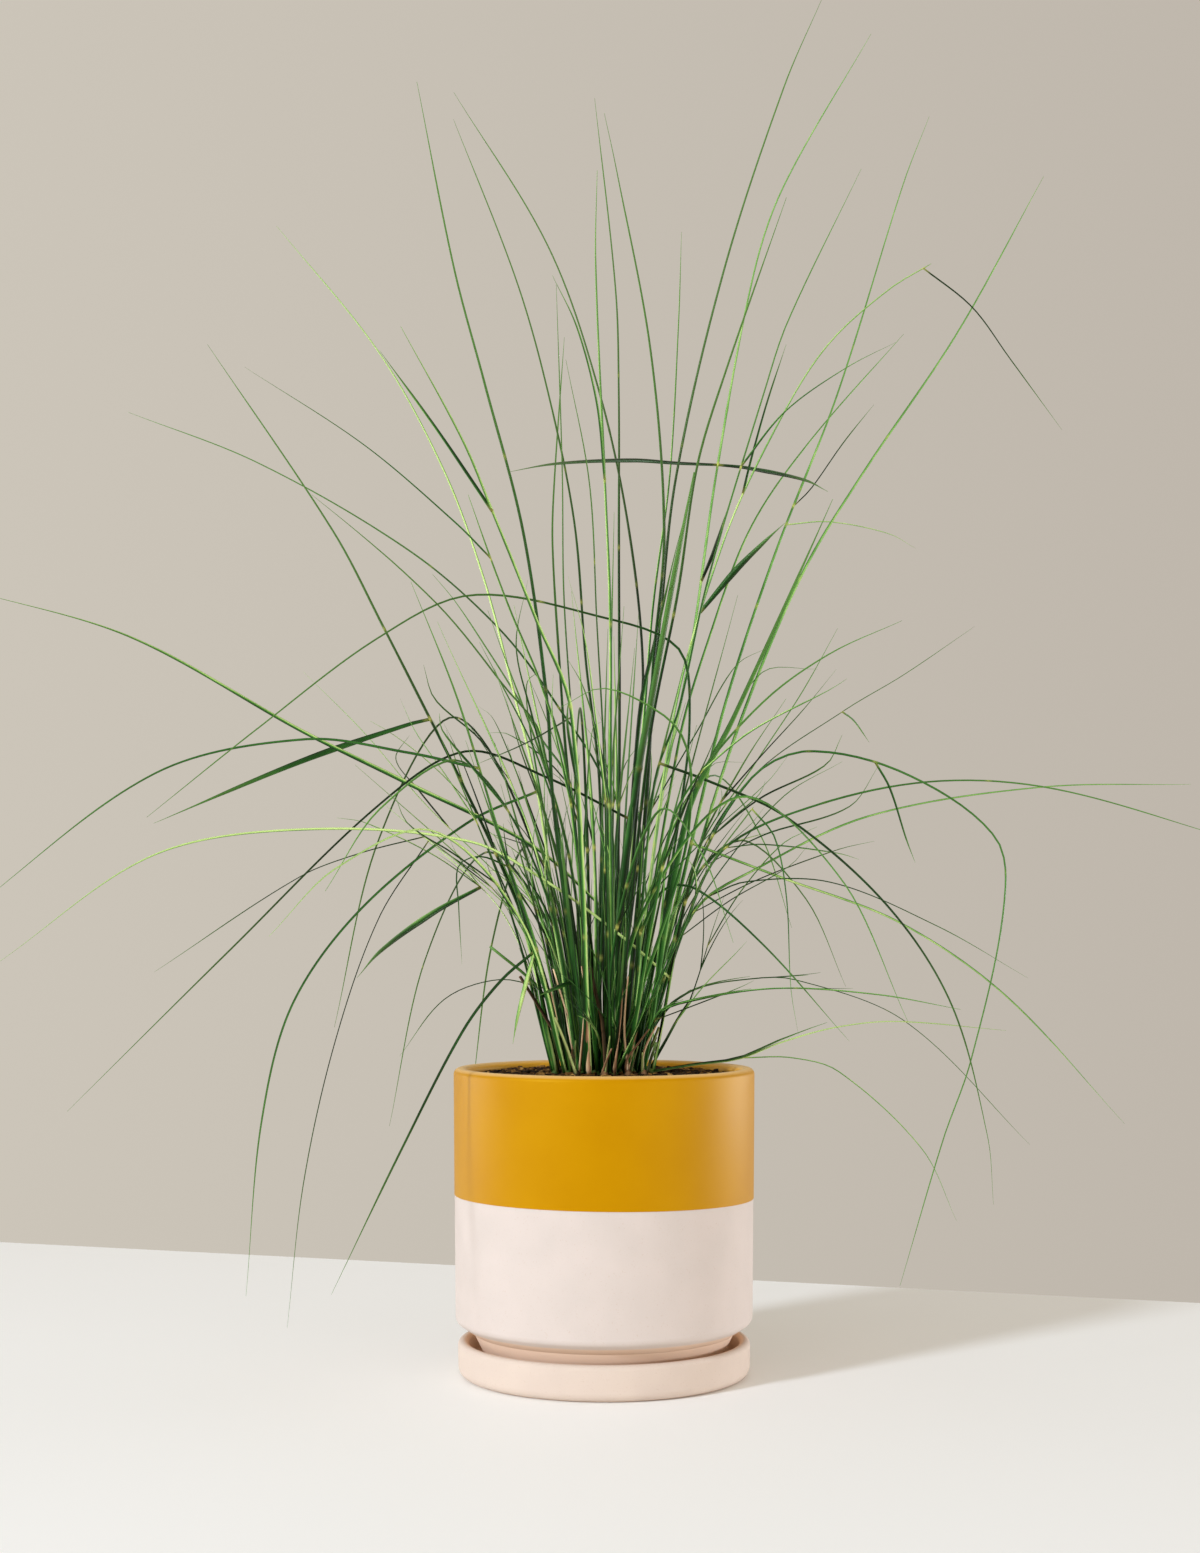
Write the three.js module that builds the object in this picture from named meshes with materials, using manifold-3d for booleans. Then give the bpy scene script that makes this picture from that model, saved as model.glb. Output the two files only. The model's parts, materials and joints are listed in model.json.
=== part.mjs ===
// A tall clump of fine muhly grass in a two-tone stoneware pot that stands in its own saucer.
// Millimetres, +Z up. The origin is the middle of the saucer's underside.

import * as THREE from 'three';
import * as BufferGeometryUtils from 'three/addons/utils/BufferGeometryUtils.js';
import Module from 'manifold-3d';

const wasm = await Module();
wasm.setup();

// Driving dimensions of the pot
const POT_RADIUS = 100;
const POT_TOP = 203.5;
const POT_WALL = 10;
const LIP_ROUND = 4;
const SHOULDER_LEVEL = 37.5;
const CHAMFER_RADIUS = 87;
const CHAMFER_LEVEL = 28.8;
const FOOT_RADIUS = 77;
const FOOT_RECESS = 3;
const FOOT_RING = 16;
const FLOOR_THICKNESS = 12.5;
const DRAIN_RADIUS = 8;

// Driving dimensions of the saucer
const SAUCER_RADIUS = 97;
const SAUCER_HEIGHT = 23.5;
const SAUCER_WALL = 7;
const SAUCER_FLOOR = 8;

// Driving dimensions of the soil
const SOIL_LEVEL = 198;
const SOIL_MOUND = 1.6;
const SOIL_ROUGHNESS = 0.5;

// Driving dimensions of the clump
const CLUMP_RADIUS = 34;
const CROWN_COUNT = 42;
const CROWN_RADIUS = 3.5;
const CROWN_DEPTH = 20;
const CROWN_TOP = SOIL_LEVEL + 5;
const ROOT_LEVEL = SOIL_LEVEL + 2.5;
const ROOT_OFFSET = 1.8;
const ROOT_STRETCH = 9;
const ROOT_TURN = 0.4;
const CULMS_AT_CROWN = 3;
const FILLING_CULM = { shortest: 110, tallest: 350 };
const GROWN_LEAF = { shortest: 45, longest: 150, highestJoint: 400 };
const LEAFY_SHARE = 0.5;
const DRY_STUB = { shortest: 12, longest: 45 };
// Arching culms from one heading to another, in radians round from +X, with the range of their
// reach, of their highest point and of the level of their tips
const ARCHES_BEHIND = { count: 7, from: 0.7, to: 2.5, reach: [180, 320], top: [330, 470], end: [110, 330] };
const ARCHES_BEFORE = { count: 4, from: -2.5, to: -0.64, reach: [170, 280], top: [330, 400], end: [230, 330] };

// Clearance between pieces that touch on the real plant
const GAP = 0.3;
// Facets round the pot, the saucer and the soil: alike, so that their flats lie face to face
const ROUND_SIDES = 32;
// A line bends by this many radians before it takes another straight piece
const BEND_OF_A_PIECE = 0.17;
const FEWEST_PIECES = 2;
const MOST_PIECES = 12;
// How often a line looks for a clear place
const TRIES = 240;
const SEED = 8;

// The eye that the readings below were taken from, seen from the pot's axis
const EYE_DISTANCE = 1437;
const EYE_HEIGHT = 289;

// Forms of stem and leaf: half width at the foot, at the widest place and at the tip. A flat leaf
// lies with its face up, or has twisted on its foot until it shows its face to the front.
const FORMS = {
  stout: { foot: 1.65, middle: 1.15, tip: 0.42, flat: false, twisted: false },
  slender: { foot: 1.3, middle: 0.9, tip: 0.42, flat: false, twisted: false },
  fine: { foot: 0.95, middle: 0.65, tip: 0.42, flat: false, twisted: false },
  leaf: { foot: 0.8, middle: 1.15, tip: 0.42, flat: true, twisted: false },
  blade: { foot: 0.9, middle: 1.5, tip: 0.45, flat: true, twisted: true },
  broad: { foot: 1.1, middle: 2.1, tip: 0.5, flat: true, twisted: true },
  sword: { foot: 1.4, middle: 2.4, tip: 1.5, flat: true, twisted: true },
  stub: { foot: 1.5, middle: 1.4, tip: 1.25, flat: false, twisted: false },
  straw: { foot: 1.0, middle: 0.9, tip: 0.6, flat: false, twisted: false },
};

// Culms and blades that rise from the soil, from low to tip: form, depth of the tip behind the
// pot's axis, then [x, z] points in the upright plane through that axis.
const CULMS = [
  ['sword', -60, [10, 300], [24, 408], [31.5, 448], [37.6, 482], [44.5, 520], [52, 559], [60, 600]],
  ['stout', 90, [-51, 295], [-73, 348], [-98, 400], [-115, 434], [-147, 497], [-180, 560], [-264, 685]],
  ['slender', -150, [-47, 289], [-63, 336], [-83, 402], [-100, 455], [-129, 527]],
  ['slender', -200, [-25, 400], [-42, 458], [-62, 506], [-75, 540], [-91, 585]],
  ['slender', 160, [3, 382], [-32, 446], [-71, 497], [-130, 548], [-230, 606], [-317, 640]],
  ['slender', -90, [-42, 423], [-68, 459], [-102, 502], [-132, 532], [-163, 559], [-195, 585]],
  ['slender', 190, [-22, 390], [-42, 423], [-60, 454], [-77, 481], [-99, 514], [-114, 532]],
  ['slender', 120, [-43, 380], [-60, 453], [-80, 529], [-107, 602], [-150, 680], [-218, 764]],
  ['stout', -230, [-22, 440], [-46, 503], [-74, 572], [-94, 620], [-136, 697]],
  ['stout', -140, [-34, 380], [-38, 446], [-54, 560], [-80, 660], [-100, 735], [-125, 860]],
  ['slender', 280, [-24, 400], [-29, 466], [-34, 551], [-33, 590], [-26, 690]],
  ['fine', -60, [-22, 440], [-27, 520], [-28, 600], [-32, 725]],
  ['slender', 200, [-3, 393], [-12, 474], [-20, 569], [-40, 665], [-60, 733], [-100, 835]],
  ['fine', -240, [0, 405], [-5, 500], [-10, 592], [-26, 675]],
  ['slender', -200, [4, 380], [4, 502], [0, 600], [-6, 740], [-5, 801]],
  ['slender', 150, [10, 380], [10, 559], [10, 650], [8, 720], [-6, 849]],
  ['stout', 60, [20, 400], [26, 466], [17, 559], [-3, 653], [-37, 750], [-100, 853]],
  ['stout', -90, [28, 380], [33, 474], [40, 559], [31, 680], [8, 802], [0, 839]],
  ['slender', 260, [27, 440], [33, 512], [44, 597], [50, 700], [52, 760]],
  ['stout', -20, [24, 400], [36, 489], [48, 597], [80, 735], [120, 857], [145, 915]],
  ['stout', 60, [38, 380], [58, 482], [75, 600], [100, 733], [120, 791], [178, 892]],
  ['slender', -160, [33, 390], [50, 443], [69, 528], [107, 655], [122, 700], [171, 802]],
  ['slender', -220, [30, 420], [49, 520], [62, 605], [80, 665], [121, 783]],
  ['stout', 190, [60, 360], [81, 446], [115, 548], [155, 650], [200, 793], [217, 837]],
  ['slender', -60, [45, 430], [80, 555], [120, 640], [150, 686], [190, 722], [218, 739]],
  ['stout', 70, [58, 330], [92, 437], [133, 534], [173, 600], [235, 692], [293, 797]],
  ['broad', -180, [55, 370], [86, 436], [118, 506], [152, 582]],
  ['slender', 250, [50, 420], [69, 486], [98, 563], [137, 620], [200, 692]],
  ['slender', -210, [45, 365], [61, 396], [107, 448], [150, 479], [198, 501]],
  ['fine', 180, [62, 345], [101, 406], [132, 453], [156, 496]],
  ['slender', -120, [62, 345], [91, 403], [121, 449]],
  ['fine', 230, [60, 335], [98, 396], [160, 441], [200, 465], [247, 497]],
  ['slender', -90, [60, 330], [98, 396], [135, 414], [201, 399], [261, 356], [266, 308],
    [244, 207], [226, 156], [197, 58]],
  ['slender', -40, [55, 300], [80, 349], [141, 378], [220, 394], [300, 389], [420, 355]],
  ['slender', 100, [60, 307], [102, 336], [177, 371], [290, 390], [391, 392]],
  ['fine', 200, [38, 238], [60, 255], [94, 262], [127, 262], [201, 234], [284, 152]],
  ['fine', -230, [36, 238], [60, 248], [114, 256], [181, 252], [237, 242]],
  ['fine', 140, [60, 205], [90, 209], [118, 220], [154, 230], [194, 234], [268, 228]],
  ['fine', -240, [50, 290], [67, 332], [99, 377]],
  ['slender', -120, [50, 370], [57, 440], [49, 483], [-4, 504], [-89, 518], [-150, 490],
    [-230, 430], [-305, 370]],
  ['fine', 230, [-40, 300], [-77, 338], [-120, 380], [-160, 427], [-200, 467]],
  ['slender', -160, [52, 340], [58, 390], [54, 419], [41, 437], [0, 456], [-30, 443]],
  ['fine', 80, [-52, 274], [-70, 310], [-100, 340], [-148, 380]],
  ['fine', -70, [-46, 286], [-64, 311], [-90, 338], [-166, 405]],
  ['fine', 30, [50, 238], [58, 250], [73, 297], [80, 317]],
  ['blade', -60, [-2, 217], [-6, 229], [-13, 236], [-18, 238]],
  ['fine', -50, [17, 206], [13, 214], [9, 227], [5, 237]],
];

// Leaves that grow from the culms above, from joint to tip, given in the same way
const LEAVES = [
  ['fine', -60, [-73, 348], [-84, 380], [-97, 413], [-107, 433]],
  ['fine', -230, [-75, 540], [-99, 566], [-160, 618], [-240, 670]],
  ['slender', -200, [-74, 572], [-110, 626], [-150, 681]],
  ['fine', -260, [1, 592], [-5, 645], [-18, 695], [-35, 731]],
  ['fine', -90, [218, 739], [245, 710], [270, 676], [305, 628]],
  ['fine', 150, [127, 575], [138, 589], [160, 620], [180, 645]],
  ['fine', -220, [95, 604], [120, 640], [160, 669], [195, 687]],
  ['fine', -130, [91, 589], [97, 605], [108, 645], [121, 685]],
  ['blade', -200, [75, 603], [50, 606], [20, 608], [-30, 606], [-65, 600]],
  ['blade', -100, [75, 603], [95, 603], [133, 595], [149, 587]],
  ['broad', -140, [62, 505], [87, 534], [107, 554], [120, 566]],
  ['blade', -50, [19, 368], [25, 448], [34, 488], [46, 541], [52, 565]],
  ['blade', -80, [66, 528], [74, 549], [83, 578]],
  ['fine', 120, [121, 561], [150, 567], [190, 559], [208, 549]],
  ['fine', 200, [160, 441], [167, 434], [177, 420]],
  ['fine', -110, [183, 408], [190, 390], [201, 356], [207, 340]],
  ['slender', -210, [46, 402], [70, 394], [120, 371], [186, 314], [230, 248], [255, 158], [259, 112]],
  ['slender', 150, [56, 354], [118, 330], [197, 300], [268, 251], [347, 166]],
  ['slender', -150, [24, 296], [40, 322], [60, 323], [105, 286], [163, 221]],
  ['fine', 60, [94, 209], [125, 210], [156, 201], [212, 149], [235, 101]],
  ['fine', -250, [99, 377], [113, 357], [121, 317], [124, 256], [129, 225]],
  ['fine', -140, [69, 314], [94, 327], [150, 327], [221, 298], [282, 263]],
  ['fine', 60, [82, 350], [105, 352], [156, 346], [170, 342]],
  ['blade', -60, [-4, 308], [-46, 350], [-131, 393], [-200, 427], [-315, 490], [-425, 522]],
  ['slender', -100, [-83, 402], [-130, 413], [-200, 422], [-300, 399], [-425, 306]],
  ['broad', 40, [-115, 434], [-130, 432], [-200, 408], [-300, 366]],
  ['slender', -90, [45, 263], [14, 289], [-38, 327], [-90, 354], [-200, 362], [-300, 345], [-403, 274]],
  ['fine', -190, [-120, 357], [-160, 347], [-200, 332], [-300, 267]],
  ['slender', -130, [12, 368], [-39, 397], [-92, 414], [-148, 380], [-250, 281], [-358, 174]],
  ['slender', -170, [-46, 385], [-90, 367], [-161, 310], [-207, 247], [-228, 170], [-239, 51]],
  ['fine', 60, [-125, 346], [-150, 303], [-179, 221], [-200, 127], [-211, 30]],
  ['slender', -130, [-43, 282], [-69, 261], [-94, 228], [-134, 151], [-182, 52]],
  ['fine', 60, [-42, 257], [-70, 262], [-106, 249], [-136, 211]],
  ['fine', -160, [-63, 336], [-83, 344], [-97, 338], [-97, 311], [-95, 272]],
  ['broad', -130, [-97, 312], [-113, 307], [-148, 282], [-165, 263]],
  ['blade', -100, [-42, 282], [-47, 278], [-57, 240], [-61, 219]],
  ['blade', -70, [-14, 259], [-25, 259], [-44, 251]],
  ['fine', -180, [-25, 438], [-49, 421], [-86, 405]],
];

// Dead stubs and dry sheaths that stand among the culms, given in the same way
const DRY_SPOTS = [[-30, -12], [-20, -25], [-4, -31], [13, -29], [27, -20], [-8, 32], [30, 14], [-30, 16]];
const DRY = [
  ['stub', -30, [-30, 221], [-38, 235], [-56, 264]],
  ['stub', -20, [-34, 236], [-42, 255], [-76, 284]],
  ['straw', -45, [-20, 226], [-26, 243], [-34, 269]],
  ['straw', -45, [-13, 240], [-13, 256], [-15, 271]],
  ['stub', -40, [-1, 232], [-5, 250], [-9, 270]],
  ['straw', -48, [1, 206], [5, 216]],
  ['straw', -40, [13.5, 225], [14.5, 250], [16, 264]],
  ['straw', -50, [15, 208], [21, 217], [30, 229]],
  ['straw', -40, [26, 211], [30, 222], [35, 231]],
];

// One seeded row of numbers serves the whole plant, so that it always grows alike.
let seed = SEED;

function draw(low, high) {
  seed = (seed * 1664525 + 1013904223) % 4294967296;
  return low + ((high - low) * seed) / 4294967296;
}

// A closed solid from a geometry whose corners are merged and whose empty faces are dropped
function solidOf(geometry) {
  geometry.deleteAttribute('normal');
  geometry.deleteAttribute('uv');
  const merged = BufferGeometryUtils.mergeVertices(geometry, 0.001);
  const corners = merged.index.array;
  const triVerts = [];
  for (let i = 0; i < corners.length; i += 3) {
    const [a, b, c] = [corners[i], corners[i + 1], corners[i + 2]];
    if (a !== b && b !== c && c !== a) {
      triVerts.push(a, b, c);
    }
  }
  const vertProperties = merged.attributes.position.array;
  return new wasm.Manifold(
    new wasm.Mesh({ numProp: 3, vertProperties, triVerts: Uint32Array.from(triVerts) }),
  );
}

function geometryOf(solid) {
  const mesh = solid.getMesh();
  const geometry = new THREE.BufferGeometry();
  geometry.setAttribute('position', new THREE.BufferAttribute(mesh.vertProperties, 3));
  geometry.setIndex(new THREE.BufferAttribute(mesh.triVerts, 1));
  return geometry;
}

// A body of revolution round Z from a closed outline of [radius, height] points
function turned(outline, sides) {
  const points = outline.map(([radius, height]) => new THREE.Vector2(radius, height));
  const geometry = new THREE.LatheGeometry(points, sides);
  geometry.rotateX(Math.PI / 2);
  return geometry;
}

function arc(centreRadius, centreHeight, radius, from, to, steps) {
  const points = [];
  for (let i = 0; i <= steps; i += 1) {
    const angle = from + ((to - from) * i) / steps;
    points.push([
      centreRadius + radius * Math.cos(angle),
      centreHeight + radius * Math.sin(angle),
    ]);
  }
  return points;
}

const FOOT_LEVEL = SAUCER_FLOOR + GAP;
const FLOOR_LEVEL = FOOT_LEVEL + FOOT_RECESS + FLOOR_THICKNESS;
const POT_BORE = POT_RADIUS - POT_WALL;
// The pot's inside below its straight wall, from the floor up, in [radius, height] points
const BOWL = [
  [62, FLOOR_LEVEL],
  [74, FLOOR_LEVEL + 5],
  [84, FLOOR_LEVEL + 15],
  [POT_BORE, FLOOR_LEVEL + 29],
];
// The pot's outside from its foot up to its straight wall
const POT_SIDE = [
  [FOOT_RADIUS - 1, FOOT_LEVEL],
  [FOOT_RADIUS, FOOT_LEVEL + 1],
  [FOOT_RADIUS + 3.5, 16],
  [CHAMFER_RADIUS - 1, CHAMFER_LEVEL - 0.8],
  [CHAMFER_RADIUS, CHAMFER_LEVEL],
  [POT_RADIUS - 2.6, SHOULDER_LEVEL - 1.9],
  [POT_RADIUS - 1.3, SHOULDER_LEVEL + 0.4],
  [POT_RADIUS - 1, SHOULDER_LEVEL + 2.5],
];
// The saucer's outside from its underside up, and its inside from its wall down
const SAUCER_SIDE = [
  [SAUCER_RADIUS - 7, 0],
  [SAUCER_RADIUS - 3, 1.4],
  [SAUCER_RADIUS - 0.7, 4.6],
  [SAUCER_RADIUS, 9],
];
const SAUCER_INSIDE = [
  [SAUCER_RADIUS - SAUCER_WALL - 0.6, SAUCER_FLOOR + 5],
  [SAUCER_RADIUS - SAUCER_WALL - 4, SAUCER_FLOOR + 1],
  [SAUCER_RADIUS - SAUCER_WALL - 8, SAUCER_FLOOR],
];
// Rings of points across the soil's surface, from its edge in
const SOIL_RINGS = [POT_BORE - GAP, 70, 50, 37];

// The pot is one piece of stoneware: a foot ring, a chamfered shoulder, a straight wall and a lip.
function makePot() {
  const outline = [
    [DRAIN_RADIUS, FOOT_LEVEL + FOOT_RECESS],
    [FOOT_RADIUS - FOOT_RING - 2, FOOT_LEVEL + FOOT_RECESS],
    [FOOT_RADIUS - FOOT_RING, FOOT_LEVEL],
    ...POT_SIDE,
    ...arc(POT_RADIUS - LIP_ROUND, POT_TOP - LIP_ROUND, LIP_ROUND, 0, Math.PI / 2, 2),
    ...arc(POT_BORE + LIP_ROUND, POT_TOP - LIP_ROUND, LIP_ROUND, Math.PI / 2, Math.PI, 2),
    ...BOWL.slice().reverse(),
    [DRAIN_RADIUS, FLOOR_LEVEL],
    [DRAIN_RADIUS, FOOT_LEVEL + FOOT_RECESS],
  ];
  return turned(outline, ROUND_SIDES);
}

// The saucer is a shallow dish with a thick rounded wall and a flat underside.
function makeSaucer() {
  const round = SAUCER_WALL / 2;
  const outline = [
    [0, 0],
    ...SAUCER_SIDE,
    ...arc(SAUCER_RADIUS - round, SAUCER_HEIGHT - round, round, 0, Math.PI, 4),
    ...SAUCER_INSIDE,
    [0, SAUCER_FLOOR],
  ];
  return turned(outline, ROUND_SIDES);
}

// The soil's surface: a low mound under the clump, with clods
function soilHeight(x, y) {
  const mound = SOIL_MOUND * (1 - (x * x + y * y) / (POT_BORE * POT_BORE));
  const clods = Math.sin(x * 0.21 + 1.3) * Math.cos(y * 0.17 - 0.4) + Math.sin(x * 0.09 - y * 0.13);
  return SOIL_LEVEL + mound + SOIL_ROUGHNESS * clods;
}

// The soil fills the pot up to just under its lip, with one plain hole for each crown.
function makeSoil(crowns) {
  const outline = [
    [0, FLOOR_LEVEL + GAP],
    ...BOWL.map(([radius, height]) => [radius - GAP, height + GAP]),
    ...SOIL_RINGS.map((radius) => [radius, SOIL_LEVEL]),
    [0, SOIL_LEVEL],
  ];
  const geometry = turned(outline, ROUND_SIDES);
  const places = geometry.attributes.position;
  for (let i = 0; i < places.count; i += 1) {
    if (places.getZ(i) > SOIL_LEVEL - 0.01) {
      places.setZ(i, soilHeight(places.getX(i), places.getY(i)));
    }
  }
  const holes = crowns.map((crown) => crownPeg(crown, CROWN_RADIUS + GAP, CROWN_DEPTH + GAP, 0));
  return solidOf(geometry).subtract(wasm.Manifold.union(holes));
}

// A crown is the short woody base that a bunch of culms springs from.
const crowns = [];
for (let i = 0; i < CROWN_COUNT; i += 1) {
  const radius = CLUMP_RADIUS * Math.sqrt((i + 0.5) / CROWN_COUNT);
  const angle = i * Math.PI * (3 - Math.sqrt(5));
  crowns.push({
    x: radius * Math.cos(angle),
    y: radius * Math.sin(angle),
    dry: false,
    culms: [],
  });
}

// The places for culms on a crown stand a third of a turn apart.
function slotTurn(crown, slot) {
  return Math.atan2(crown.y, crown.x) + ROOT_TURN + (slot * 2 * Math.PI) / CULMS_AT_CROWN;
}

function rootOf(crown, slot) {
  const turn = slotTurn(crown, slot);
  return new THREE.Vector3(
    crown.x + ROOT_OFFSET * Math.cos(turn),
    crown.y + ROOT_OFFSET * Math.sin(turn),
    ROOT_LEVEL,
  );
}

// The free place on a crown that lies furthest towards a heading
function slotTowards(crown, heading) {
  let best = -1;
  let most = -Infinity;
  for (let slot = 0; slot < CULMS_AT_CROWN; slot += 1) {
    const gain = Math.cos(slotTurn(crown, slot) - heading);
    if (!crown.culms.includes(slot) && gain > most) {
      best = slot;
      most = gain;
    }
  }
  return best;
}

function crownPeg(crown, radius, depth, taper) {
  const height = CROWN_TOP - SOIL_LEVEL + depth;
  const peg = new THREE.CylinderGeometry(radius - taper, radius, height, 6);
  peg.rotateX(Math.PI / 2);
  peg.translate(crown.x, crown.y, CROWN_TOP - height / 2);
  return solidOf(peg);
}

function nearestCrown(x, y, fits) {
  let best = null;
  let least = Infinity;
  for (const crown of crowns) {
    const distance = Math.hypot(crown.x - x, crown.y - y);
    if (fits(crown) && distance < least) {
      best = crown;
      least = distance;
    }
  }
  return best;
}

// A reading in the upright plane through the axis, moved along its line of sight to a depth
function seen([x, z], depth) {
  const scale = 1 + depth / EYE_DISTANCE;
  return new THREE.Vector3(x * scale, depth, EYE_HEIGHT + (z - EYE_HEIGHT) * scale);
}

// A smooth line through the points, whose slope at each point follows from its neighbours
function smoothLine(points, pieces) {
  const last = points.length - 1;
  const knots = [0];
  for (let i = 1; i <= last; i += 1) {
    knots.push(knots[i - 1] + points[i].distanceTo(points[i - 1]));
  }
  const slopes = points.map((point, i) => {
    const before = Math.max(i - 1, 0);
    const after = Math.min(i + 1, last);
    return points[after].clone().sub(points[before]).divideScalar(knots[after] - knots[before]);
  });
  const line = [];
  let part = 0;
  for (let k = 0; k <= pieces; k += 1) {
    const along = (knots[last] * k) / pieces;
    while (part < last - 1 && along > knots[part + 1]) {
      part += 1;
    }
    const span = knots[part + 1] - knots[part];
    const t = (along - knots[part]) / span;
    const t2 = t * t;
    const t3 = t2 * t;
    line.push(
      new THREE.Vector3()
        .addScaledVector(points[part], 2 * t3 - 3 * t2 + 1)
        .addScaledVector(slopes[part], (t3 - 2 * t2 + t) * span)
        .addScaledVector(points[part + 1], 3 * t2 - 2 * t3)
        .addScaledVector(slopes[part + 1], (t3 - t2) * span),
    );
  }
  return line;
}

// The same line in as few straight pieces as its bending allows
function leanLine(points) {
  const fine = smoothLine(points, 24);
  let bend = 0;
  for (let i = 1; i < fine.length - 1; i += 1) {
    const before = fine[i].clone().sub(fine[i - 1]);
    const after = fine[i + 1].clone().sub(fine[i]);
    bend += before.angleTo(after);
  }
  const pieces = Math.ceil(bend / BEND_OF_A_PIECE);
  return smoothLine(points, Math.min(MOST_PIECES, Math.max(FEWEST_PIECES, pieces)));
}

// Half widths along a line of a given form, widest a third of the way up a flat leaf
function halfWidths(form, count) {
  const { foot, middle, tip, flat } = FORMS[form];
  const widths = [];
  for (let i = 0; i <= count; i += 1) {
    const t = i / count;
    const peak = flat ? 0.35 : 0.5;
    const rising = foot + ((middle - foot) * t) / peak;
    const falling = middle + ((tip - middle) * (t - peak)) / (1 - peak);
    widths.push(t < peak ? rising : falling);
  }
  return widths;
}

// Shortest distance between two straight pieces, a to b and c to d
function pieceDistance(a, b, c, d) {
  const u = b.clone().sub(a);
  const v = d.clone().sub(c);
  const w = a.clone().sub(c);
  const uu = u.dot(u);
  const uv = u.dot(v);
  const vv = v.dot(v);
  const uw = u.dot(w);
  const vw = v.dot(w);
  const across = uu * vv - uv * uv;
  let s = across > 1e-9 ? Math.min(1, Math.max(0, (uv * vw - vv * uw) / across)) : 0;
  const t = Math.min(1, Math.max(0, (uv * s + vw) / vv));
  s = Math.min(1, Math.max(0, (uv * t - uw) / uu));
  return w.addScaledVector(u, s).addScaledVector(v, -t).length();
}

// Every centre line that has its place, with the crown that it belongs to
const standing = crowns.map((crown) => ({
  crown,
  line: [
    new THREE.Vector3(crown.x, crown.y, SOIL_LEVEL - CROWN_DEPTH),
    new THREE.Vector3(crown.x, crown.y, CROWN_TOP),
  ],
  widths: [CROWN_RADIUS, CROWN_RADIUS],
  kind: 'crown',
  box: new THREE.Box3(
    new THREE.Vector3(crown.x - CROWN_RADIUS, crown.y - CROWN_RADIUS, SOIL_LEVEL - CROWN_DEPTH),
    new THREE.Vector3(crown.x + CROWN_RADIUS, crown.y + CROWN_RADIUS, CROWN_TOP),
  ),
}));

// Whether a line keeps off the soil, the pot's lip and the surface that the saucer stands on
function clearsPot(crown, line, widths) {
  const steps = 12;
  for (let i = 1; i < line.length; i += 1) {
    const width = Math.max(widths[i - 1], widths[i]) + GAP;
    for (let k = 1; k <= steps; k += 1) {
      const { x, y, z } = line[i - 1].clone().lerp(line[i], k / steps);
      const out = Math.hypot(x, y);
      const inside = out < POT_BORE ? soilHeight(x, y) : POT_TOP;
      const level = out < POT_RADIUS + width ? inside : SAUCER_HEIGHT;
      const rooted = Math.hypot(x - crown.x, y - crown.y) < CROWN_RADIUS;
      if (!rooted && z < level + width) {
        return false;
      }
    }
  }
  return true;
}

// A line without the stretch at its root, where it may touch what stands on the same crown
function offRoot(line) {
  const [root, next, ...rest] = line;
  const share = Math.min(0.9, ROOT_STRETCH / root.distanceTo(next));
  return [root.clone().lerp(next, share), next, ...rest];
}

function clearsOthers(crown, whole, widths, box) {
  for (const other of standing) {
    const own = other.crown === crown;
    if (other.box.intersectsBox(box) && !(own && other.kind === 'crown')) {
      const line = own ? offRoot(whole) : whole;
      for (let i = 1; i < line.length; i += 1) {
        const width = Math.max(widths[i - 1], widths[i]) + GAP;
        for (let j = 1; j < other.line.length; j += 1) {
          const reach = width + Math.max(other.widths[j - 1], other.widths[j]);
          if (pieceDistance(line[i - 1], line[i], other.line[j - 1], other.line[j]) < reach) {
            return false;
          }
        }
      }
    }
  }
  return true;
}

// Gives a line its place at its crown if nothing is in its way
function stand(crown, form, points, kind) {
  const line = leanLine(points);
  const widths = halfWidths(form, line.length - 1);
  const widest = Math.max(...widths) + GAP;
  const box = new THREE.Box3().setFromPoints(line).expandByScalar(widest);
  if (!clearsPot(crown, line, widths) || !clearsOthers(crown, line, widths, box)) {
    return false;
  }
  standing.push({ crown, line, widths, box, form, kind });
  return true;
}

// How far the fan of culms has spread at a height above the soil, against its width at the soil
function fanSpread(height) {
  return 1 + 0.0062 * height + 0.0000165 * height * height;
}

const isGreen = (crown) => !crown.dry && crown.culms.length < CULMS_AT_CROWN;
const isDry = (crown) => crown.dry && crown.culms.length < CULMS_AT_CROWN;

// The readings of one line with their depths: it leaves its root slowly and reaches the tip's depth
function inDepth(root, readings, tipDepth) {
  const spans = [];
  let length = 0;
  let before = [root.x, root.z];
  for (const reading of readings) {
    length += Math.hypot(reading[0] - before[0], reading[1] - before[1]);
    spans.push(length);
    before = reading;
  }
  return readings.map((reading, i) => {
    const t = spans[i] / length;
    return seen(reading, root.y + (tipDepth - root.y) * (0.5 * t + 0.5 * t * t));
  });
}

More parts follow.
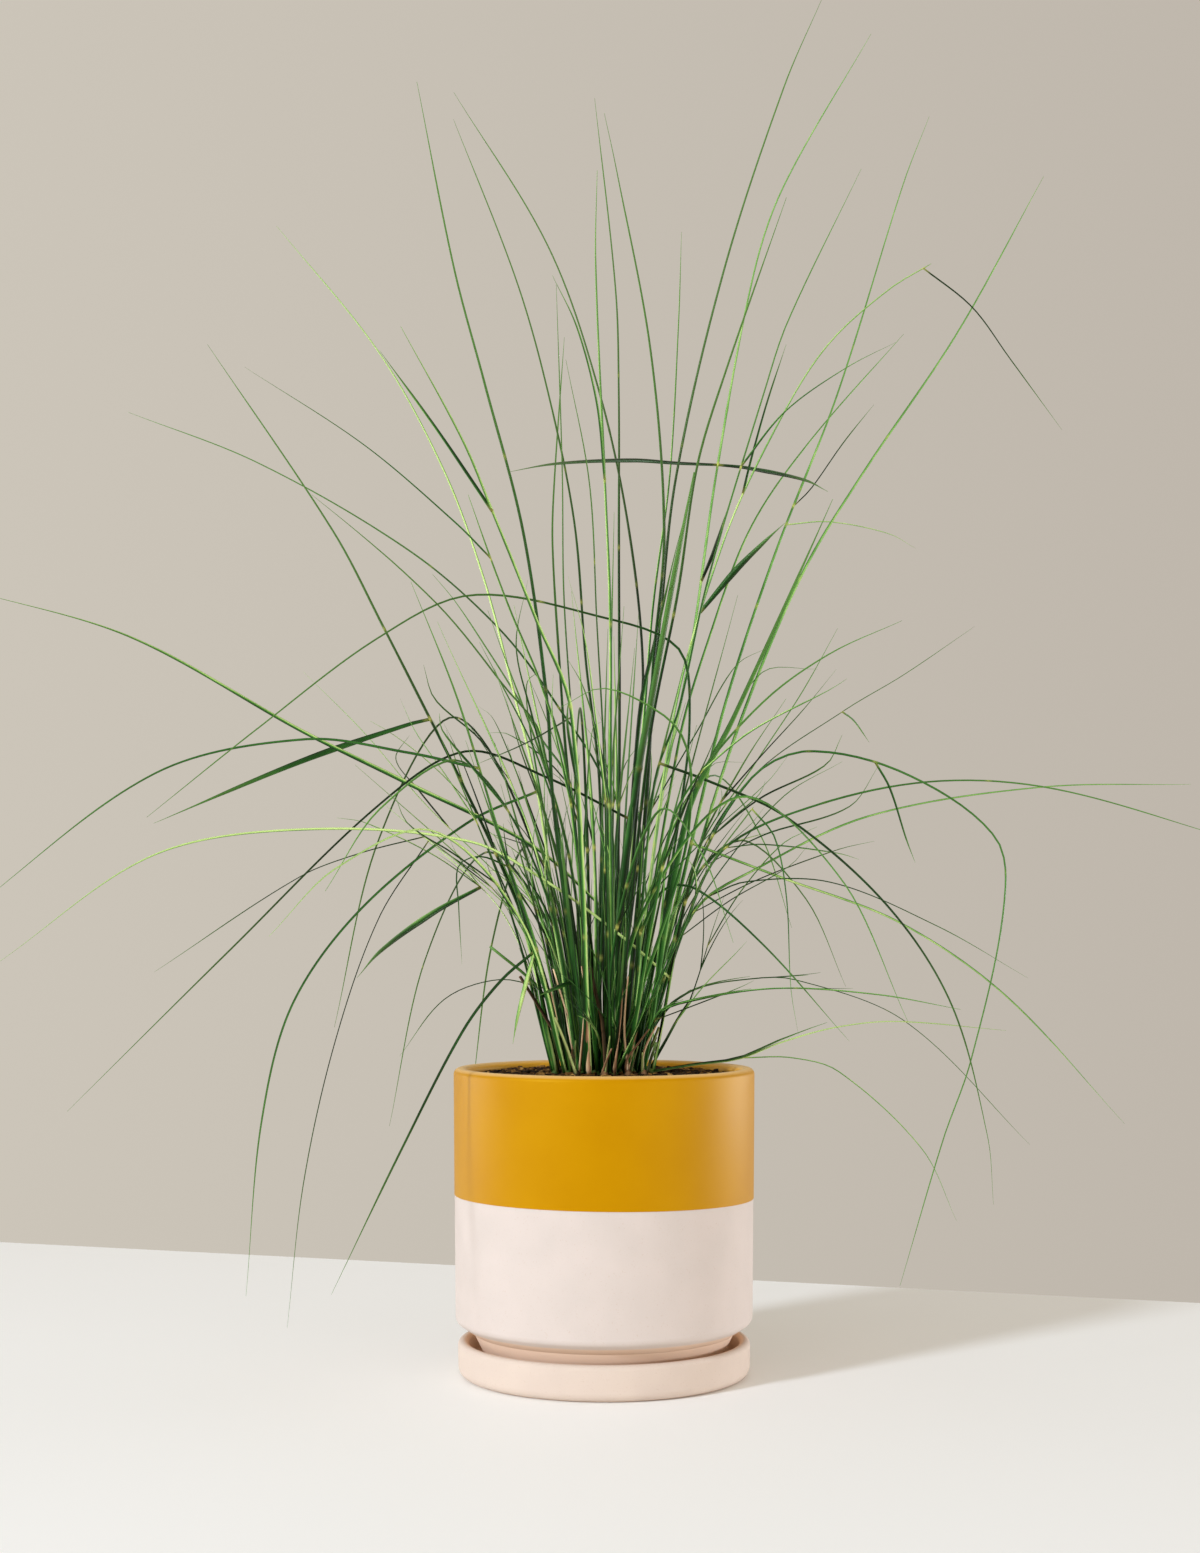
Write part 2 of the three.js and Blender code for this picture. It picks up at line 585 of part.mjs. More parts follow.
// A culm read from the photograph starts where the fan puts it and takes the first clear depth.
function plantCulm([form, depth, ...readings], fits, spread) {
  const [x, z] = readings[0];
  const footX = x / fanSpread(z - SOIL_LEVEL);
  for (let i = 0; i < TRIES; i += 1) {
    const loose = spread * (0.3 + i / 60);
    const tipDepth = depth + draw(-loose, loose);
    const footY = Math.max(-30, Math.min(30, tipDepth * 0.12)) + draw(-4, 4) * (1 + i / 60);
    const crown = nearestCrown(footX + draw(-2, 2) * (1 + i / 60), footY, fits);
    const first = seen(readings[0], footY);
    const slot = slotTowards(crown, Math.atan2(first.y - crown.y, first.x - crown.x));
    const root = rootOf(crown, slot);
    if (stand(crown, form, [root, ...inDepth(root, readings, tipDepth)], 'culm')) {
      crown.culms.push(slot);
      return;
    }
  }
}

// The point of a line at a share of its length, on the straight piece that holds it
function pointOn(line, share) {
  const along = share * (line.length - 1);
  const piece = Math.min(line.length - 2, Math.floor(along));
  return line[piece].clone().lerp(line[piece + 1], along - piece);
}

// The places on the green culms that pass nearest to a reading, best first: one for each culm
function nearestJoints(start, depth) {
  const joints = [];
  for (const culm of standing) {
    if (culm.kind === 'culm' && !culm.crown.dry) {
      let least = Infinity;
      let share = 0;
      for (let k = 4; k <= 99; k += 1) {
        const point = pointOn(culm.line, k / 100);
        const scale = 1 + point.y / EYE_DISTANCE;
        const z = EYE_HEIGHT + (point.z - EYE_HEIGHT) / scale;
        const side = Math.abs(point.y - depth * 0.3) * 0.03;
        const distance = Math.hypot(point.x / scale - start[0], z - start[1]) + side;
        if (distance < least) {
          least = distance;
          share = k / 100;
        }
      }
      joints.push({ culm, share, least });
    }
  }
  return joints.sort((a, b) => a.least - b.least);
}

// A leaf read from the photograph starts on a culm that passes near its first point.
function plantLeaf([form, depth, start, ...readings]) {
  const joints = nearestJoints(start, depth);
  for (let i = 0; i < TRIES; i += 1) {
    const { culm, share } = joints[Math.floor(i / 80)];
    const loose = 10 + 2 * (i % 80);
    const tipDepth = depth + draw(-loose, loose);
    const root = pointOn(culm.line, share);
    if (stand(culm.crown, form, [root, ...inDepth(root, readings, tipDepth)], 'leaf')) {
      return;
    }
  }
}

// A point at a distance and a height from a root, in a heading round the clump
function outFrom(root, heading, reach, rise) {
  return new THREE.Vector3(
    root.x + reach * Math.cos(heading),
    root.y + reach * Math.sin(heading),
    root.z + rise,
  );
}

// Shorter culms fill the clump: the further out a crown stands, the more its culms lean.
function fillCrown(crown, most) {
  const out = Math.hypot(crown.x, crown.y) / CLUMP_RADIUS;
  for (let i = 0; i < 40 && crown.culms.length < most; i += 1) {
    const heading = Math.atan2(crown.y, crown.x) + draw(-0.8, 0.8);
    const rise = draw(FILLING_CULM.shortest, FILLING_CULM.tallest) * (1.1 - 0.25 * out);
    const lean = 0.04 + 0.2 * out + draw(-0.05, 0.08);
    const bow = draw(0.02, 0.12);
    const slot = slotTowards(crown, heading);
    const root = rootOf(crown, slot);
    const points = [
      root,
      outFrom(root, heading, lean * rise * 0.5, rise * 0.5),
      outFrom(root, heading, (lean + bow) * rise, rise),
    ];
    const form = draw(0, 1) < 0.6 ? 'stout' : 'slender';
    if (stand(crown, form, points, 'culm')) {
      crown.culms.push(slot);
    }
  }
}

// Arching culms carry the plant as far to the front and the back as to the sides.
function plantArch(heading, reach, top, end) {
  for (let i = 0; i < TRIES; i += 1) {
    const loose = 0.12 + i / 400;
    const turn = heading + draw(-loose, loose);
    const far = reach * draw(0.9, 1.1);
    const ring = 0.8 * CLUMP_RADIUS;
    const crown = nearestCrown(
      ring * Math.cos(turn) + draw(-5, 5),
      ring * Math.sin(turn) + draw(-5, 5),
      isGreen,
    );
    const root = rootOf(crown, slotTowards(crown, turn));
    const points = [
      root,
      outFrom(root, turn, far * 0.16, (top - ROOT_LEVEL) * 0.62),
      outFrom(root, turn, far * 0.48, top - ROOT_LEVEL),
      outFrom(root, turn, far * 0.8, (top + end) / 2 - ROOT_LEVEL + (top - end) * 0.12),
      outFrom(root, turn, far, end - ROOT_LEVEL),
    ];
    if (stand(crown, 'slender', points, 'culm')) {
      crown.culms.push(slotTowards(crown, turn));
      return;
    }
  }
}

function plantArches({ count, from, to, reach, top, end }) {
  for (let i = 0; i < count; i += 1) {
    plantArch(from + (i * (to - from)) / (count - 1), draw(...reach), draw(...top), draw(...end));
  }
}

// Leaves grow from the lower joints of the culms, first along them and then out.
function growLeaves(culm, count) {
  const { crown, line } = culm;
  for (let grown = 0, i = 0; grown < count && i < 12; i += 1) {
    const share = draw(0.12, 0.8);
    const root = pointOn(line, share);
    const rise = pointOn(line, share + 0.1).sub(root).normalize();
    const heading = Math.atan2(root.y, root.x) + draw(-1.1, 1.1);
    const length = draw(GROWN_LEAF.shortest, GROWN_LEAF.longest);
    const out = new THREE.Vector3(Math.cos(heading), Math.sin(heading), 0);
    const near = root.clone().addScaledVector(rise, 0.36 * length);
    near.addScaledVector(out, 0.1 * length);
    const far = near.clone().addScaledVector(rise, 0.32 * length);
    far.addScaledVector(out, draw(0.1, 0.3) * length);
    const tip = far.clone().addScaledVector(out, draw(0.08, 0.26) * length);
    tip.z += draw(0, 0.3) * length;
    const form = draw(0, 1) < 0.2 ? 'leaf' : 'fine';
    const fitting = root.z < GROWN_LEAF.highestJoint && rise.z > 0.4;
    if (fitting && stand(crown, form, [root, near, far, tip], 'leaf')) {
      grown += 1;
    }
  }
}

// A dead crown keeps a few short broken stubs.
function growStubs(crown) {
  for (let i = 0; i < 20 && crown.culms.length < CULMS_AT_CROWN; i += 1) {
    const heading = Math.atan2(crown.y, crown.x) + draw(-1.2, 1.2);
    const rise = draw(DRY_STUB.shortest, DRY_STUB.longest);
    const slot = slotTowards(crown, heading);
    const root = rootOf(crown, slot);
    const tip = outFrom(root, heading, rise * draw(0.15, 0.5), rise);
    const middle = root.clone().lerp(tip, 0.5);
    middle.z += rise * 0.04;
    if (stand(crown, draw(0, 1) < 0.5 ? 'stub' : 'straw', [root, middle, tip], 'culm')) {
      crown.culms.push(slot);
    }
  }
}

const FRONT = new THREE.Vector3(0, -1, 0);

// The body of one stem or leaf: a three-sided section carried along its line, keeled on a flat leaf
function makeBlade({ line, widths, form }) {
  const { flat, twisted } = FORMS[form];
  const towards = line[line.length - 1].clone().sub(line[0]);
  let side = new THREE.Vector3(-towards.y, towards.x, 0).normalize();
  const places = [];
  line.forEach((point, i) => {
    const ahead = line[Math.min(i + 1, line.length - 1)];
    const behind = line[Math.max(i - 1, 0)];
    const along = ahead.clone().sub(behind).normalize();
    side = twisted
      ? along.clone().cross(FRONT).normalize()
      : side.addScaledVector(along, -side.dot(along)).normalize();
    const up = along.clone().cross(side);
    const width = widths[i];
    const section = flat
      ? [[width, 0.3], [-width, 0.3], [0, -0.55]]
      : [[width * 0.866, width / 2], [-width * 0.866, width / 2], [0, -width]];
    for (const [across, high] of section) {
      const corner = point.clone().addScaledVector(side, across).addScaledVector(up, high);
      places.push(corner.x, corner.y, corner.z);
    }
  });
  const last = 3 * (line.length - 1);
  const corners = [0, 2, 1, last, last + 1, last + 2];
  for (let i = 0; i < last; i += 3) {
    for (let j = 0; j < 3; j += 1) {
      const next = (j + 1) % 3;
      corners.push(i + j, i + next, i + 3 + next);
      corners.push(i + j, i + 3 + next, i + 3 + j);
    }
  }
  const geometry = new THREE.BufferGeometry();
  geometry.setAttribute('position', new THREE.Float32BufferAttribute(places, 3));
  geometry.setIndex(corners);
  return geometry;
}

// Where each piece stands is settled in this order: what is dead, then what was read, then the rest.
for (const [x, y] of DRY_SPOTS) {
  nearestCrown(x, y, (crown) => !crown.dry).dry = true;
}
for (const stroke of DRY) {
  plantCulm(stroke, isDry, 4);
}
for (const stroke of CULMS) {
  plantCulm(stroke, isGreen, 20);
}
for (const stroke of LEAVES) {
  plantLeaf(stroke);
}
plantArches(ARCHES_BEHIND);
plantArches(ARCHES_BEFORE);
for (const crown of crowns) {
  if (crown.dry) {
    growStubs(crown);
  } else {
    fillCrown(crown, CULMS_AT_CROWN);
  }
}
for (const culm of standing.filter((one) => one.kind === 'culm' && !one.crown.dry)) {
  growLeaves(culm, draw(0, 1) < LEAFY_SHARE ? 2 : 1);
}

// Materials, one for each finish
const STONEWARE = new THREE.MeshStandardMaterial({ color: '#dba316', roughness: 0.5, metalness: 0 });
const CLAY = new THREE.MeshStandardMaterial({ color: '#e8d6c9', roughness: 0.85, metalness: 0 });
const SOIL = new THREE.MeshStandardMaterial({ color: '#3a2a1c', roughness: 1, metalness: 0 });
const GRASS = new THREE.MeshStandardMaterial({ color: '#3f7040', roughness: 0.6, metalness: 0 });
const DRY_SHEATH = new THREE.MeshStandardMaterial({ color: '#a9705a', roughness: 0.8, metalness: 0 });

const group = new THREE.Group();

function addPiece(name, geometry, material) {
  const mesh = new THREE.Mesh(geometry, material.clone());
  mesh.name = name;
  group.add(mesh);
}

addPiece('saucer', makeSaucer(), CLAY);
addPiece('pot', makePot(), STONEWARE);
addPiece('soil', geometryOf(makeSoil(crowns)), SOIL);

let bunches = 0;
let sheaths = 0;
for (const crown of crowns) {
  const pieces = standing.filter((one) => one.crown === crown && one.form);
  const bodies = pieces.map((one) => solidOf(makeBlade(one)));
  const body = wasm.Manifold.union([crownPeg(crown, CROWN_RADIUS, CROWN_DEPTH, 0.5), ...bodies]);
  if (crown.dry) {
    sheaths += 1;
    addPiece(`dry_sheaths_${sheaths}`, geometryOf(body), DRY_SHEATH);
  } else {
    bunches += 1;
    addPiece(`grass_bunch_${bunches}`, geometryOf(body), GRASS);
  }
}

export default group;
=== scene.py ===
# %% [markdown]
# # A clump of fine muhly grass in a two-tone stoneware pot
#
# This lesson dresses a measured model of a potted grass. The model's solids are plain: faceted turned
# pieces and three-sided stems. Here they get the shapes and finishes that the eye sees: a smoothly
# thrown pot with a coat of ochre glaze, bare clay, crumbly potting mix, round culms with pale joints,
# keeled blades and papery dead sheaths.
#
# Blender works in metres. The object is thought of in millimetres, so its lengths are written in
# millimetres and turned to metres once, where a mesh is made. Only the lamps, and the places that a
# material reads, are in metres.

# %% Load the measured model
import json
import math
from functools import partial

import bpy
import numpy as np
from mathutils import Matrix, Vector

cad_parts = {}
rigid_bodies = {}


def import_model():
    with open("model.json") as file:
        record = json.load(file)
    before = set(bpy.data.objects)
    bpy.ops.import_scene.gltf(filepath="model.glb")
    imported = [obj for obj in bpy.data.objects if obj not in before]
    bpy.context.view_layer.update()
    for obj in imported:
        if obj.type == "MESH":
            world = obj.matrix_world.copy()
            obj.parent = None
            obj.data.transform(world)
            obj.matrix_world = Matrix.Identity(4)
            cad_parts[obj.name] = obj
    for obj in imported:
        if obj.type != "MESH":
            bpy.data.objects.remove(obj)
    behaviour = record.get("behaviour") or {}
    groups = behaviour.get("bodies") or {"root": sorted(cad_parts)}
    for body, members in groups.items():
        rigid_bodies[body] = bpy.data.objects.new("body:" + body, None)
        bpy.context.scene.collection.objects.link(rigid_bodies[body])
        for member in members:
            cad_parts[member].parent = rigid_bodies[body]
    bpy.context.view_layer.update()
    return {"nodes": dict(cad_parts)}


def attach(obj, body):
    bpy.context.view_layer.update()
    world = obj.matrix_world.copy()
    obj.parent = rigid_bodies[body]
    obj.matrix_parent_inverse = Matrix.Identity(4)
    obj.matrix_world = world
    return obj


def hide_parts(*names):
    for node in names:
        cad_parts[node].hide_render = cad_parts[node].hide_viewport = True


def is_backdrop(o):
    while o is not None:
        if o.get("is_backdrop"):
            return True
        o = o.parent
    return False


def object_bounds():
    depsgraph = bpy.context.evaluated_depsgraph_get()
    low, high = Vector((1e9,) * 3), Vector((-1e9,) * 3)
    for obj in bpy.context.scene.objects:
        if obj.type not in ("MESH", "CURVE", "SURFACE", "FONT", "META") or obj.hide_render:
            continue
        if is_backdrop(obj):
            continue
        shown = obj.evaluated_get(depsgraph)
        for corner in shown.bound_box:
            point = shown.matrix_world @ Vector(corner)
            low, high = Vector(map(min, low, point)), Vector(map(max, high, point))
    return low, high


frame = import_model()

MM = 0.001
print("solids in the frame:", len(frame["nodes"]))

# %% [markdown]
# ## The camera
#
# The picture was taken level, from a little above the pot's rim, with a normal lens. A level camera
# keeps the pot's sides upright; the view is then slid up the sensor with a small shift instead of
# tilting the camera, just as an architect's camera does it.

# %% Set up the camera
EYE_DISTANCE = 1437
EYE_HEIGHT = 289

lens = bpy.data.cameras.new("camera")
lens.lens = 50
lens.sensor_width = 36
lens.shift_y = 0.1046
lens.clip_end = 50
# The camera stood 2.7 mm to the left of the pot's axis
camera = bpy.data.objects.new("camera", lens)
camera.location = (-2.7 * MM, -EYE_DISTANCE * MM, EYE_HEIGHT * MM)
camera.rotation_euler = (math.pi / 2, 0, 0)
bpy.context.scene.collection.objects.link(camera)
bpy.context.scene.camera = camera
bpy.context.scene.view_settings.view_transform = "Standard"
print("camera at", [round(v, 3) for v in camera.location])

# %% [markdown]
# ## Helpers for meshes and materials
#
# A maker's scene needs only a few helpers. One makes a mesh object from corners and faces. One turns
# a profile round the upright axis, as a potter's wheel does. One turns a colour picked on screen,
# which is sRGB, into the linear numbers that a renderer works with. And one adds a node to a
# material, with its settings and its links, so that each material reads like a recipe.

# %% Make an object from corners and faces


def make_object(name, corners, faces, material, smooth=True):
    """Corners are in millimetres. The object stands at the origin, as the measured solids do."""
    mesh = bpy.data.meshes.new(name)
    mesh.from_pydata((np.asarray(corners, dtype=float) * MM).tolist(), [], faces)
    mesh.validate()
    mesh.materials.append(material)
    if smooth:
        mesh.shade_smooth()
    made = bpy.data.objects.new(name, mesh)
    bpy.context.scene.collection.objects.link(made)
    print("made", name, "with", len(faces), "faces")
    return made


# %% Round the corners of a profile


def rounded(profile, steps=8):
    """A closed profile of (radius, height, rounding): each corner becomes an arc that fits in it."""
    points = []
    count = len(profile)
    for i in range(count):
        here = np.array(profile[i][:2], dtype=float)
        rounding = profile[i][2]
        back = np.array(profile[i - 1][:2]) - here
        ahead = np.array(profile[(i + 1) % count][:2]) - here
        back = back / np.linalg.norm(back)
        ahead = ahead / np.linalg.norm(ahead)
        opening = math.acos(float(np.clip(back @ ahead, -1, 1)))
        if rounding == 0 or math.pi - opening < 0.02:
            points.append(here)
            continue
        reach = rounding / math.tan(opening / 2)
        middle = back + ahead
        centre = here + middle / np.linalg.norm(middle) * rounding / math.sin(opening / 2)
        first = here + back * reach - centre
        last = here + ahead * reach - centre
        turn = math.atan2(first[0] * last[1] - first[1] * last[0], float(first @ last))
        for k in range(steps + 1):
            angle = turn * k / steps
            cos, sin = math.cos(angle), math.sin(angle)
            spoke = (first[0] * cos - first[1] * sin, first[0] * sin + first[1] * cos)
            points.append(centre + np.array(spoke))
    return points


# %% Turn a profile round the upright axis


def turned(points, sides=160):
    """Corners and faces of a closed profile turned round the upright axis."""
    corners = []
    faces = []
    count = len(points)
    angles = np.arange(sides) * 2 * math.pi / sides
    for radius, height in points:
        ring = np.stack([radius * np.cos(angles), radius * np.sin(angles), np.full(sides, height)], axis=1)
        corners.append(ring)
    for i in range(count):
        nxt = (i + 1) % count
        for j in range(sides):
            k = (j + 1) % sides
            faces.append((i * sides + j, i * sides + k, nxt * sides + k, nxt * sides + j))
    return np.concatenate(corners), faces


# %% Colours


def linear(hex_colour):
    """A screen colour such as "#d69a08" as linear red, green, blue and alpha."""
    channels = [int(hex_colour[i:i + 2], 16) / 255 for i in (1, 3, 5)]
    return [c / 12.92 if c <= 0.04045 else ((c + 0.055) / 1.055) ** 2.4 for c in channels] + [1.0]


print("half bright on screen is", round(linear("#808080")[0], 3), "of the light")

# %% One function for every node


def add_node(tree, kind, settings=None, links=None):
    """Adds a node, or takes one that stands already, and gives it its settings and its links.

    A setting is an input's value or one of the node's own choices, and ramp sets its stops. A link
    comes from a socket, or from the first output that a node has in use.
    """
    made = tree.nodes.new("ShaderNode" + kind) if isinstance(kind, str) else kind
    for name, value in (settings or {}).items():
        if name == "ramp":
            stops = made.color_ramp.elements
            while len(stops) < len(value):
                stops.new(0.5)
            for stop, (place, colour) in zip(stops, value):
                stop.position = place
                stop.color = linear(colour)
        elif isinstance(name, int) or name in made.inputs:
            value = linear(value) if isinstance(value, str) and value.startswith("#") else value
            made.inputs[name].default_value = value
        else:
            setattr(made, name, value)
    for name, source in (links or {}).items():
        if isinstance(source, bpy.types.Node):
            source = next(output for output in source.outputs if output.enabled)
        tree.links.new(source, made.inputs[name])
    return made


# %% Empty materials, and the scale of a grain


def new_material(name):
    """An empty material with its shader, and the function that adds a node to it."""
    material = bpy.data.materials.new(name)
    material.use_nodes = True
    material.node_tree.nodes.clear()
    add = partial(add_node, material.node_tree)
    shader = add("BsdfPrincipled")
    add("OutputMaterial", None, {"Surface": shader})
    print("mixed", name)
    return material, shader, add


def per_mm(size):
    """A noise scale that gives a grain of this size in millimetres."""
    return 1000 / size


# %% [markdown]
# ## How the clump is planned
#
# The plant is planned by one seeded rule, the same that the measured solids were made by, so every
# fine culm here lies along its plain three-sided one. Two kinds of line go into the plan. The first
# was read off the picture, as points in the upright plane through the pot's axis, and is moved along
# its line of sight to its own depth. The second is grown by rule: arches to the front and the back,
# shorter culms that fill the clump, and leaves from their joints.
#
# A particle system could scatter blades in one step, but none of them would then stand where the real
# one does, and they would run through each other. Here each line takes its place only if it keeps
# clear of all that stand already, as stems that grow side by side do.

# %% Forms of stem and leaf, in millimetres
# Half width at the foot, at the widest place and at the tip, and the section
FORMS = {
    "stout": (1.65, 1.15, 0.42, "round"),
    "slender": (1.3, 0.9, 0.42, "round"),
    "fine": (0.95, 0.65, 0.42, "rolled"),
    "leaf": (0.8, 1.15, 0.42, "keeled"),
    "blade": (0.9, 1.5, 0.45, "keeled"),
    "broad": (1.1, 2.1, 0.5, "keeled"),
    "sword": (1.4, 2.4, 1.5, "keeled"),
    "stub": (1.5, 1.4, 1.25, "round"),
    "straw": (1.0, 0.9, 0.6, "rolled"),
}
print(len(FORMS), "forms of stem and leaf")

# %% Culms read from the picture: form, depth of the tip, then points across and up, from low to tip
CULMS = [
  ["sword", -60, [10, 300], [24, 408], [31.5, 448], [37.6, 482], [44.5, 520], [52, 559], [60, 600]],
  ["stout", 90, [-51, 295], [-73, 348], [-98, 400], [-115, 434], [-147, 497], [-180, 560], [-264, 685]],
  ["slender", -150, [-47, 289], [-63, 336], [-83, 402], [-100, 455], [-129, 527]],
  ["slender", -200, [-25, 400], [-42, 458], [-62, 506], [-75, 540], [-91, 585]],
  ["slender", 160, [3, 382], [-32, 446], [-71, 497], [-130, 548], [-230, 606], [-317, 640]],
  ["slender", -90, [-42, 423], [-68, 459], [-102, 502], [-132, 532], [-163, 559], [-195, 585]],
  ["slender", 190, [-22, 390], [-42, 423], [-60, 454], [-77, 481], [-99, 514], [-114, 532]],
  ["slender", 120, [-43, 380], [-60, 453], [-80, 529], [-107, 602], [-150, 680], [-218, 764]],
  ["stout", -230, [-22, 440], [-46, 503], [-74, 572], [-94, 620], [-136, 697]],
  ["stout", -140, [-34, 380], [-38, 446], [-54, 560], [-80, 660], [-100, 735], [-125, 860]],
  ["slender", 280, [-24, 400], [-29, 466], [-34, 551], [-33, 590], [-26, 690]],
  ["fine", -60, [-22, 440], [-27, 520], [-28, 600], [-32, 725]],
  ["slender", 200, [-3, 393], [-12, 474], [-20, 569], [-40, 665], [-60, 733], [-100, 835]],
  ["fine", -240, [0, 405], [-5, 500], [-10, 592], [-26, 675]],
  ["slender", -200, [4, 380], [4, 502], [0, 600], [-6, 740], [-5, 801]],
  ["slender", 150, [10, 380], [10, 559], [10, 650], [8, 720], [-6, 849]],
  ["stout", 60, [20, 400], [26, 466], [17, 559], [-3, 653], [-37, 750], [-100, 853]],
  ["stout", -90, [28, 380], [33, 474], [40, 559], [31, 680], [8, 802], [0, 839]],
  ["slender", 260, [27, 440], [33, 512], [44, 597], [50, 700], [52, 760]],
  ["stout", -20, [24, 400], [36, 489], [48, 597], [80, 735], [120, 857], [145, 915]],
  ["stout", 60, [38, 380], [58, 482], [75, 600], [100, 733], [120, 791], [178, 892]],
  ["slender", -160, [33, 390], [50, 443], [69, 528], [107, 655], [122, 700], [171, 802]],
  ["slender", -220, [30, 420], [49, 520], [62, 605], [80, 665], [121, 783]],
  ["stout", 190, [60, 360], [81, 446], [115, 548], [155, 650], [200, 793], [217, 837]],
  ["slender", -60, [45, 430], [80, 555], [120, 640], [150, 686], [190, 722], [218, 739]],
  ["stout", 70, [58, 330], [92, 437], [133, 534], [173, 600], [235, 692], [293, 797]],
  ["broad", -180, [55, 370], [86, 436], [118, 506], [152, 582]],
  ["slender", 250, [50, 420], [69, 486], [98, 563], [137, 620], [200, 692]],
  ["slender", -210, [45, 365], [61, 396], [107, 448], [150, 479], [198, 501]],
  ["fine", 180, [62, 345], [101, 406], [132, 453], [156, 496]],
  ["slender", -120, [62, 345], [91, 403], [121, 449]],
  ["fine", 230, [60, 335], [98, 396], [160, 441], [200, 465], [247, 497]],
  ["slender", -90, [60, 330], [98, 396], [135, 414], [201, 399], [261, 356], [266, 308],
    [244, 207], [226, 156], [197, 58]],
  ["slender", -40, [55, 300], [80, 349], [141, 378], [220, 394], [300, 389], [420, 355]],
  ["slender", 100, [60, 307], [102, 336], [177, 371], [290, 390], [391, 392]],
  ["fine", 200, [38, 238], [60, 255], [94, 262], [127, 262], [201, 234], [284, 152]],
  ["fine", -230, [36, 238], [60, 248], [114, 256], [181, 252], [237, 242]],
  ["fine", 140, [60, 205], [90, 209], [118, 220], [154, 230], [194, 234], [268, 228]],
  ["fine", -240, [50, 290], [67, 332], [99, 377]],
  ["slender", -120, [50, 370], [57, 440], [49, 483], [-4, 504], [-89, 518], [-150, 490],
    [-230, 430], [-305, 370]],
  ["fine", 230, [-40, 300], [-77, 338], [-120, 380], [-160, 427], [-200, 467]],
  ["slender", -160, [52, 340], [58, 390], [54, 419], [41, 437], [0, 456], [-30, 443]],
  ["fine", 80, [-52, 274], [-70, 310], [-100, 340], [-148, 380]],
  ["fine", -70, [-46, 286], [-64, 311], [-90, 338], [-166, 405]],
  ["fine", 30, [50, 238], [58, 250], [73, 297], [80, 317]],
  ["blade", -60, [-2, 217], [-6, 229], [-13, 236], [-18, 238]],
  ["fine", -50, [17, 206], [13, 214], [9, 227], [5, 237]],
]
print(len(CULMS), "culms were read")

# %% Leaves that grow from the culms above, from joint to tip
LEAVES = [
  ["fine", -60, [-73, 348], [-84, 380], [-97, 413], [-107, 433]],
  ["fine", -230, [-75, 540], [-99, 566], [-160, 618], [-240, 670]],
  ["slender", -200, [-74, 572], [-110, 626], [-150, 681]],
  ["fine", -260, [1, 592], [-5, 645], [-18, 695], [-35, 731]],
  ["fine", -90, [218, 739], [245, 710], [270, 676], [305, 628]],
  ["fine", 150, [127, 575], [138, 589], [160, 620], [180, 645]],
  ["fine", -220, [95, 604], [120, 640], [160, 669], [195, 687]],
  ["fine", -130, [91, 589], [97, 605], [108, 645], [121, 685]],
  ["blade", -200, [75, 603], [50, 606], [20, 608], [-30, 606], [-65, 600]],
  ["blade", -100, [75, 603], [95, 603], [133, 595], [149, 587]],
  ["broad", -140, [62, 505], [87, 534], [107, 554], [120, 566]],
  ["blade", -50, [19, 368], [25, 448], [34, 488], [46, 541], [52, 565]],
  ["blade", -80, [66, 528], [74, 549], [83, 578]],
  ["fine", 120, [121, 561], [150, 567], [190, 559], [208, 549]],
  ["fine", 200, [160, 441], [167, 434], [177, 420]],
  ["fine", -110, [183, 408], [190, 390], [201, 356], [207, 340]],
  ["slender", -210, [46, 402], [70, 394], [120, 371], [186, 314], [230, 248], [255, 158], [259, 112]],
  ["slender", 150, [56, 354], [118, 330], [197, 300], [268, 251], [347, 166]],
  ["slender", -150, [24, 296], [40, 322], [60, 323], [105, 286], [163, 221]],
  ["fine", 60, [94, 209], [125, 210], [156, 201], [212, 149], [235, 101]],
  ["fine", -250, [99, 377], [113, 357], [121, 317], [124, 256], [129, 225]],
  ["fine", -140, [69, 314], [94, 327], [150, 327], [221, 298], [282, 263]],
  ["fine", 60, [82, 350], [105, 352], [156, 346], [170, 342]],
  ["blade", -60, [-4, 308], [-46, 350], [-131, 393], [-200, 427], [-315, 490], [-425, 522]],
  ["slender", -100, [-83, 402], [-130, 413], [-200, 422], [-300, 399], [-425, 306]],
  ["broad", 40, [-115, 434], [-130, 432], [-200, 408], [-300, 366]],
  ["slender", -90, [45, 263], [14, 289], [-38, 327], [-90, 354], [-200, 362], [-300, 345], [-403, 274]],
  ["fine", -190, [-120, 357], [-160, 347], [-200, 332], [-300, 267]],
  ["slender", -130, [12, 368], [-39, 397], [-92, 414], [-148, 380], [-250, 281], [-358, 174]],
  ["slender", -170, [-46, 385], [-90, 367], [-161, 310], [-207, 247], [-228, 170], [-239, 51]],
  ["fine", 60, [-125, 346], [-150, 303], [-179, 221], [-200, 127], [-211, 30]],
  ["slender", -130, [-43, 282], [-69, 261], [-94, 228], [-134, 151], [-182, 52]],
  ["fine", 60, [-42, 257], [-70, 262], [-106, 249], [-136, 211]],
  ["fine", -160, [-63, 336], [-83, 344], [-97, 338], [-97, 311], [-95, 272]],
  ["broad", -130, [-97, 312], [-113, 307], [-148, 282], [-165, 263]],
  ["blade", -100, [-42, 282], [-47, 278], [-57, 240], [-61, 219]],
  ["blade", -70, [-14, 259], [-25, 259], [-44, 251]],
  ["fine", -180, [-25, 438], [-49, 421], [-86, 405]],
]
print(len(LEAVES), "leaves were read")

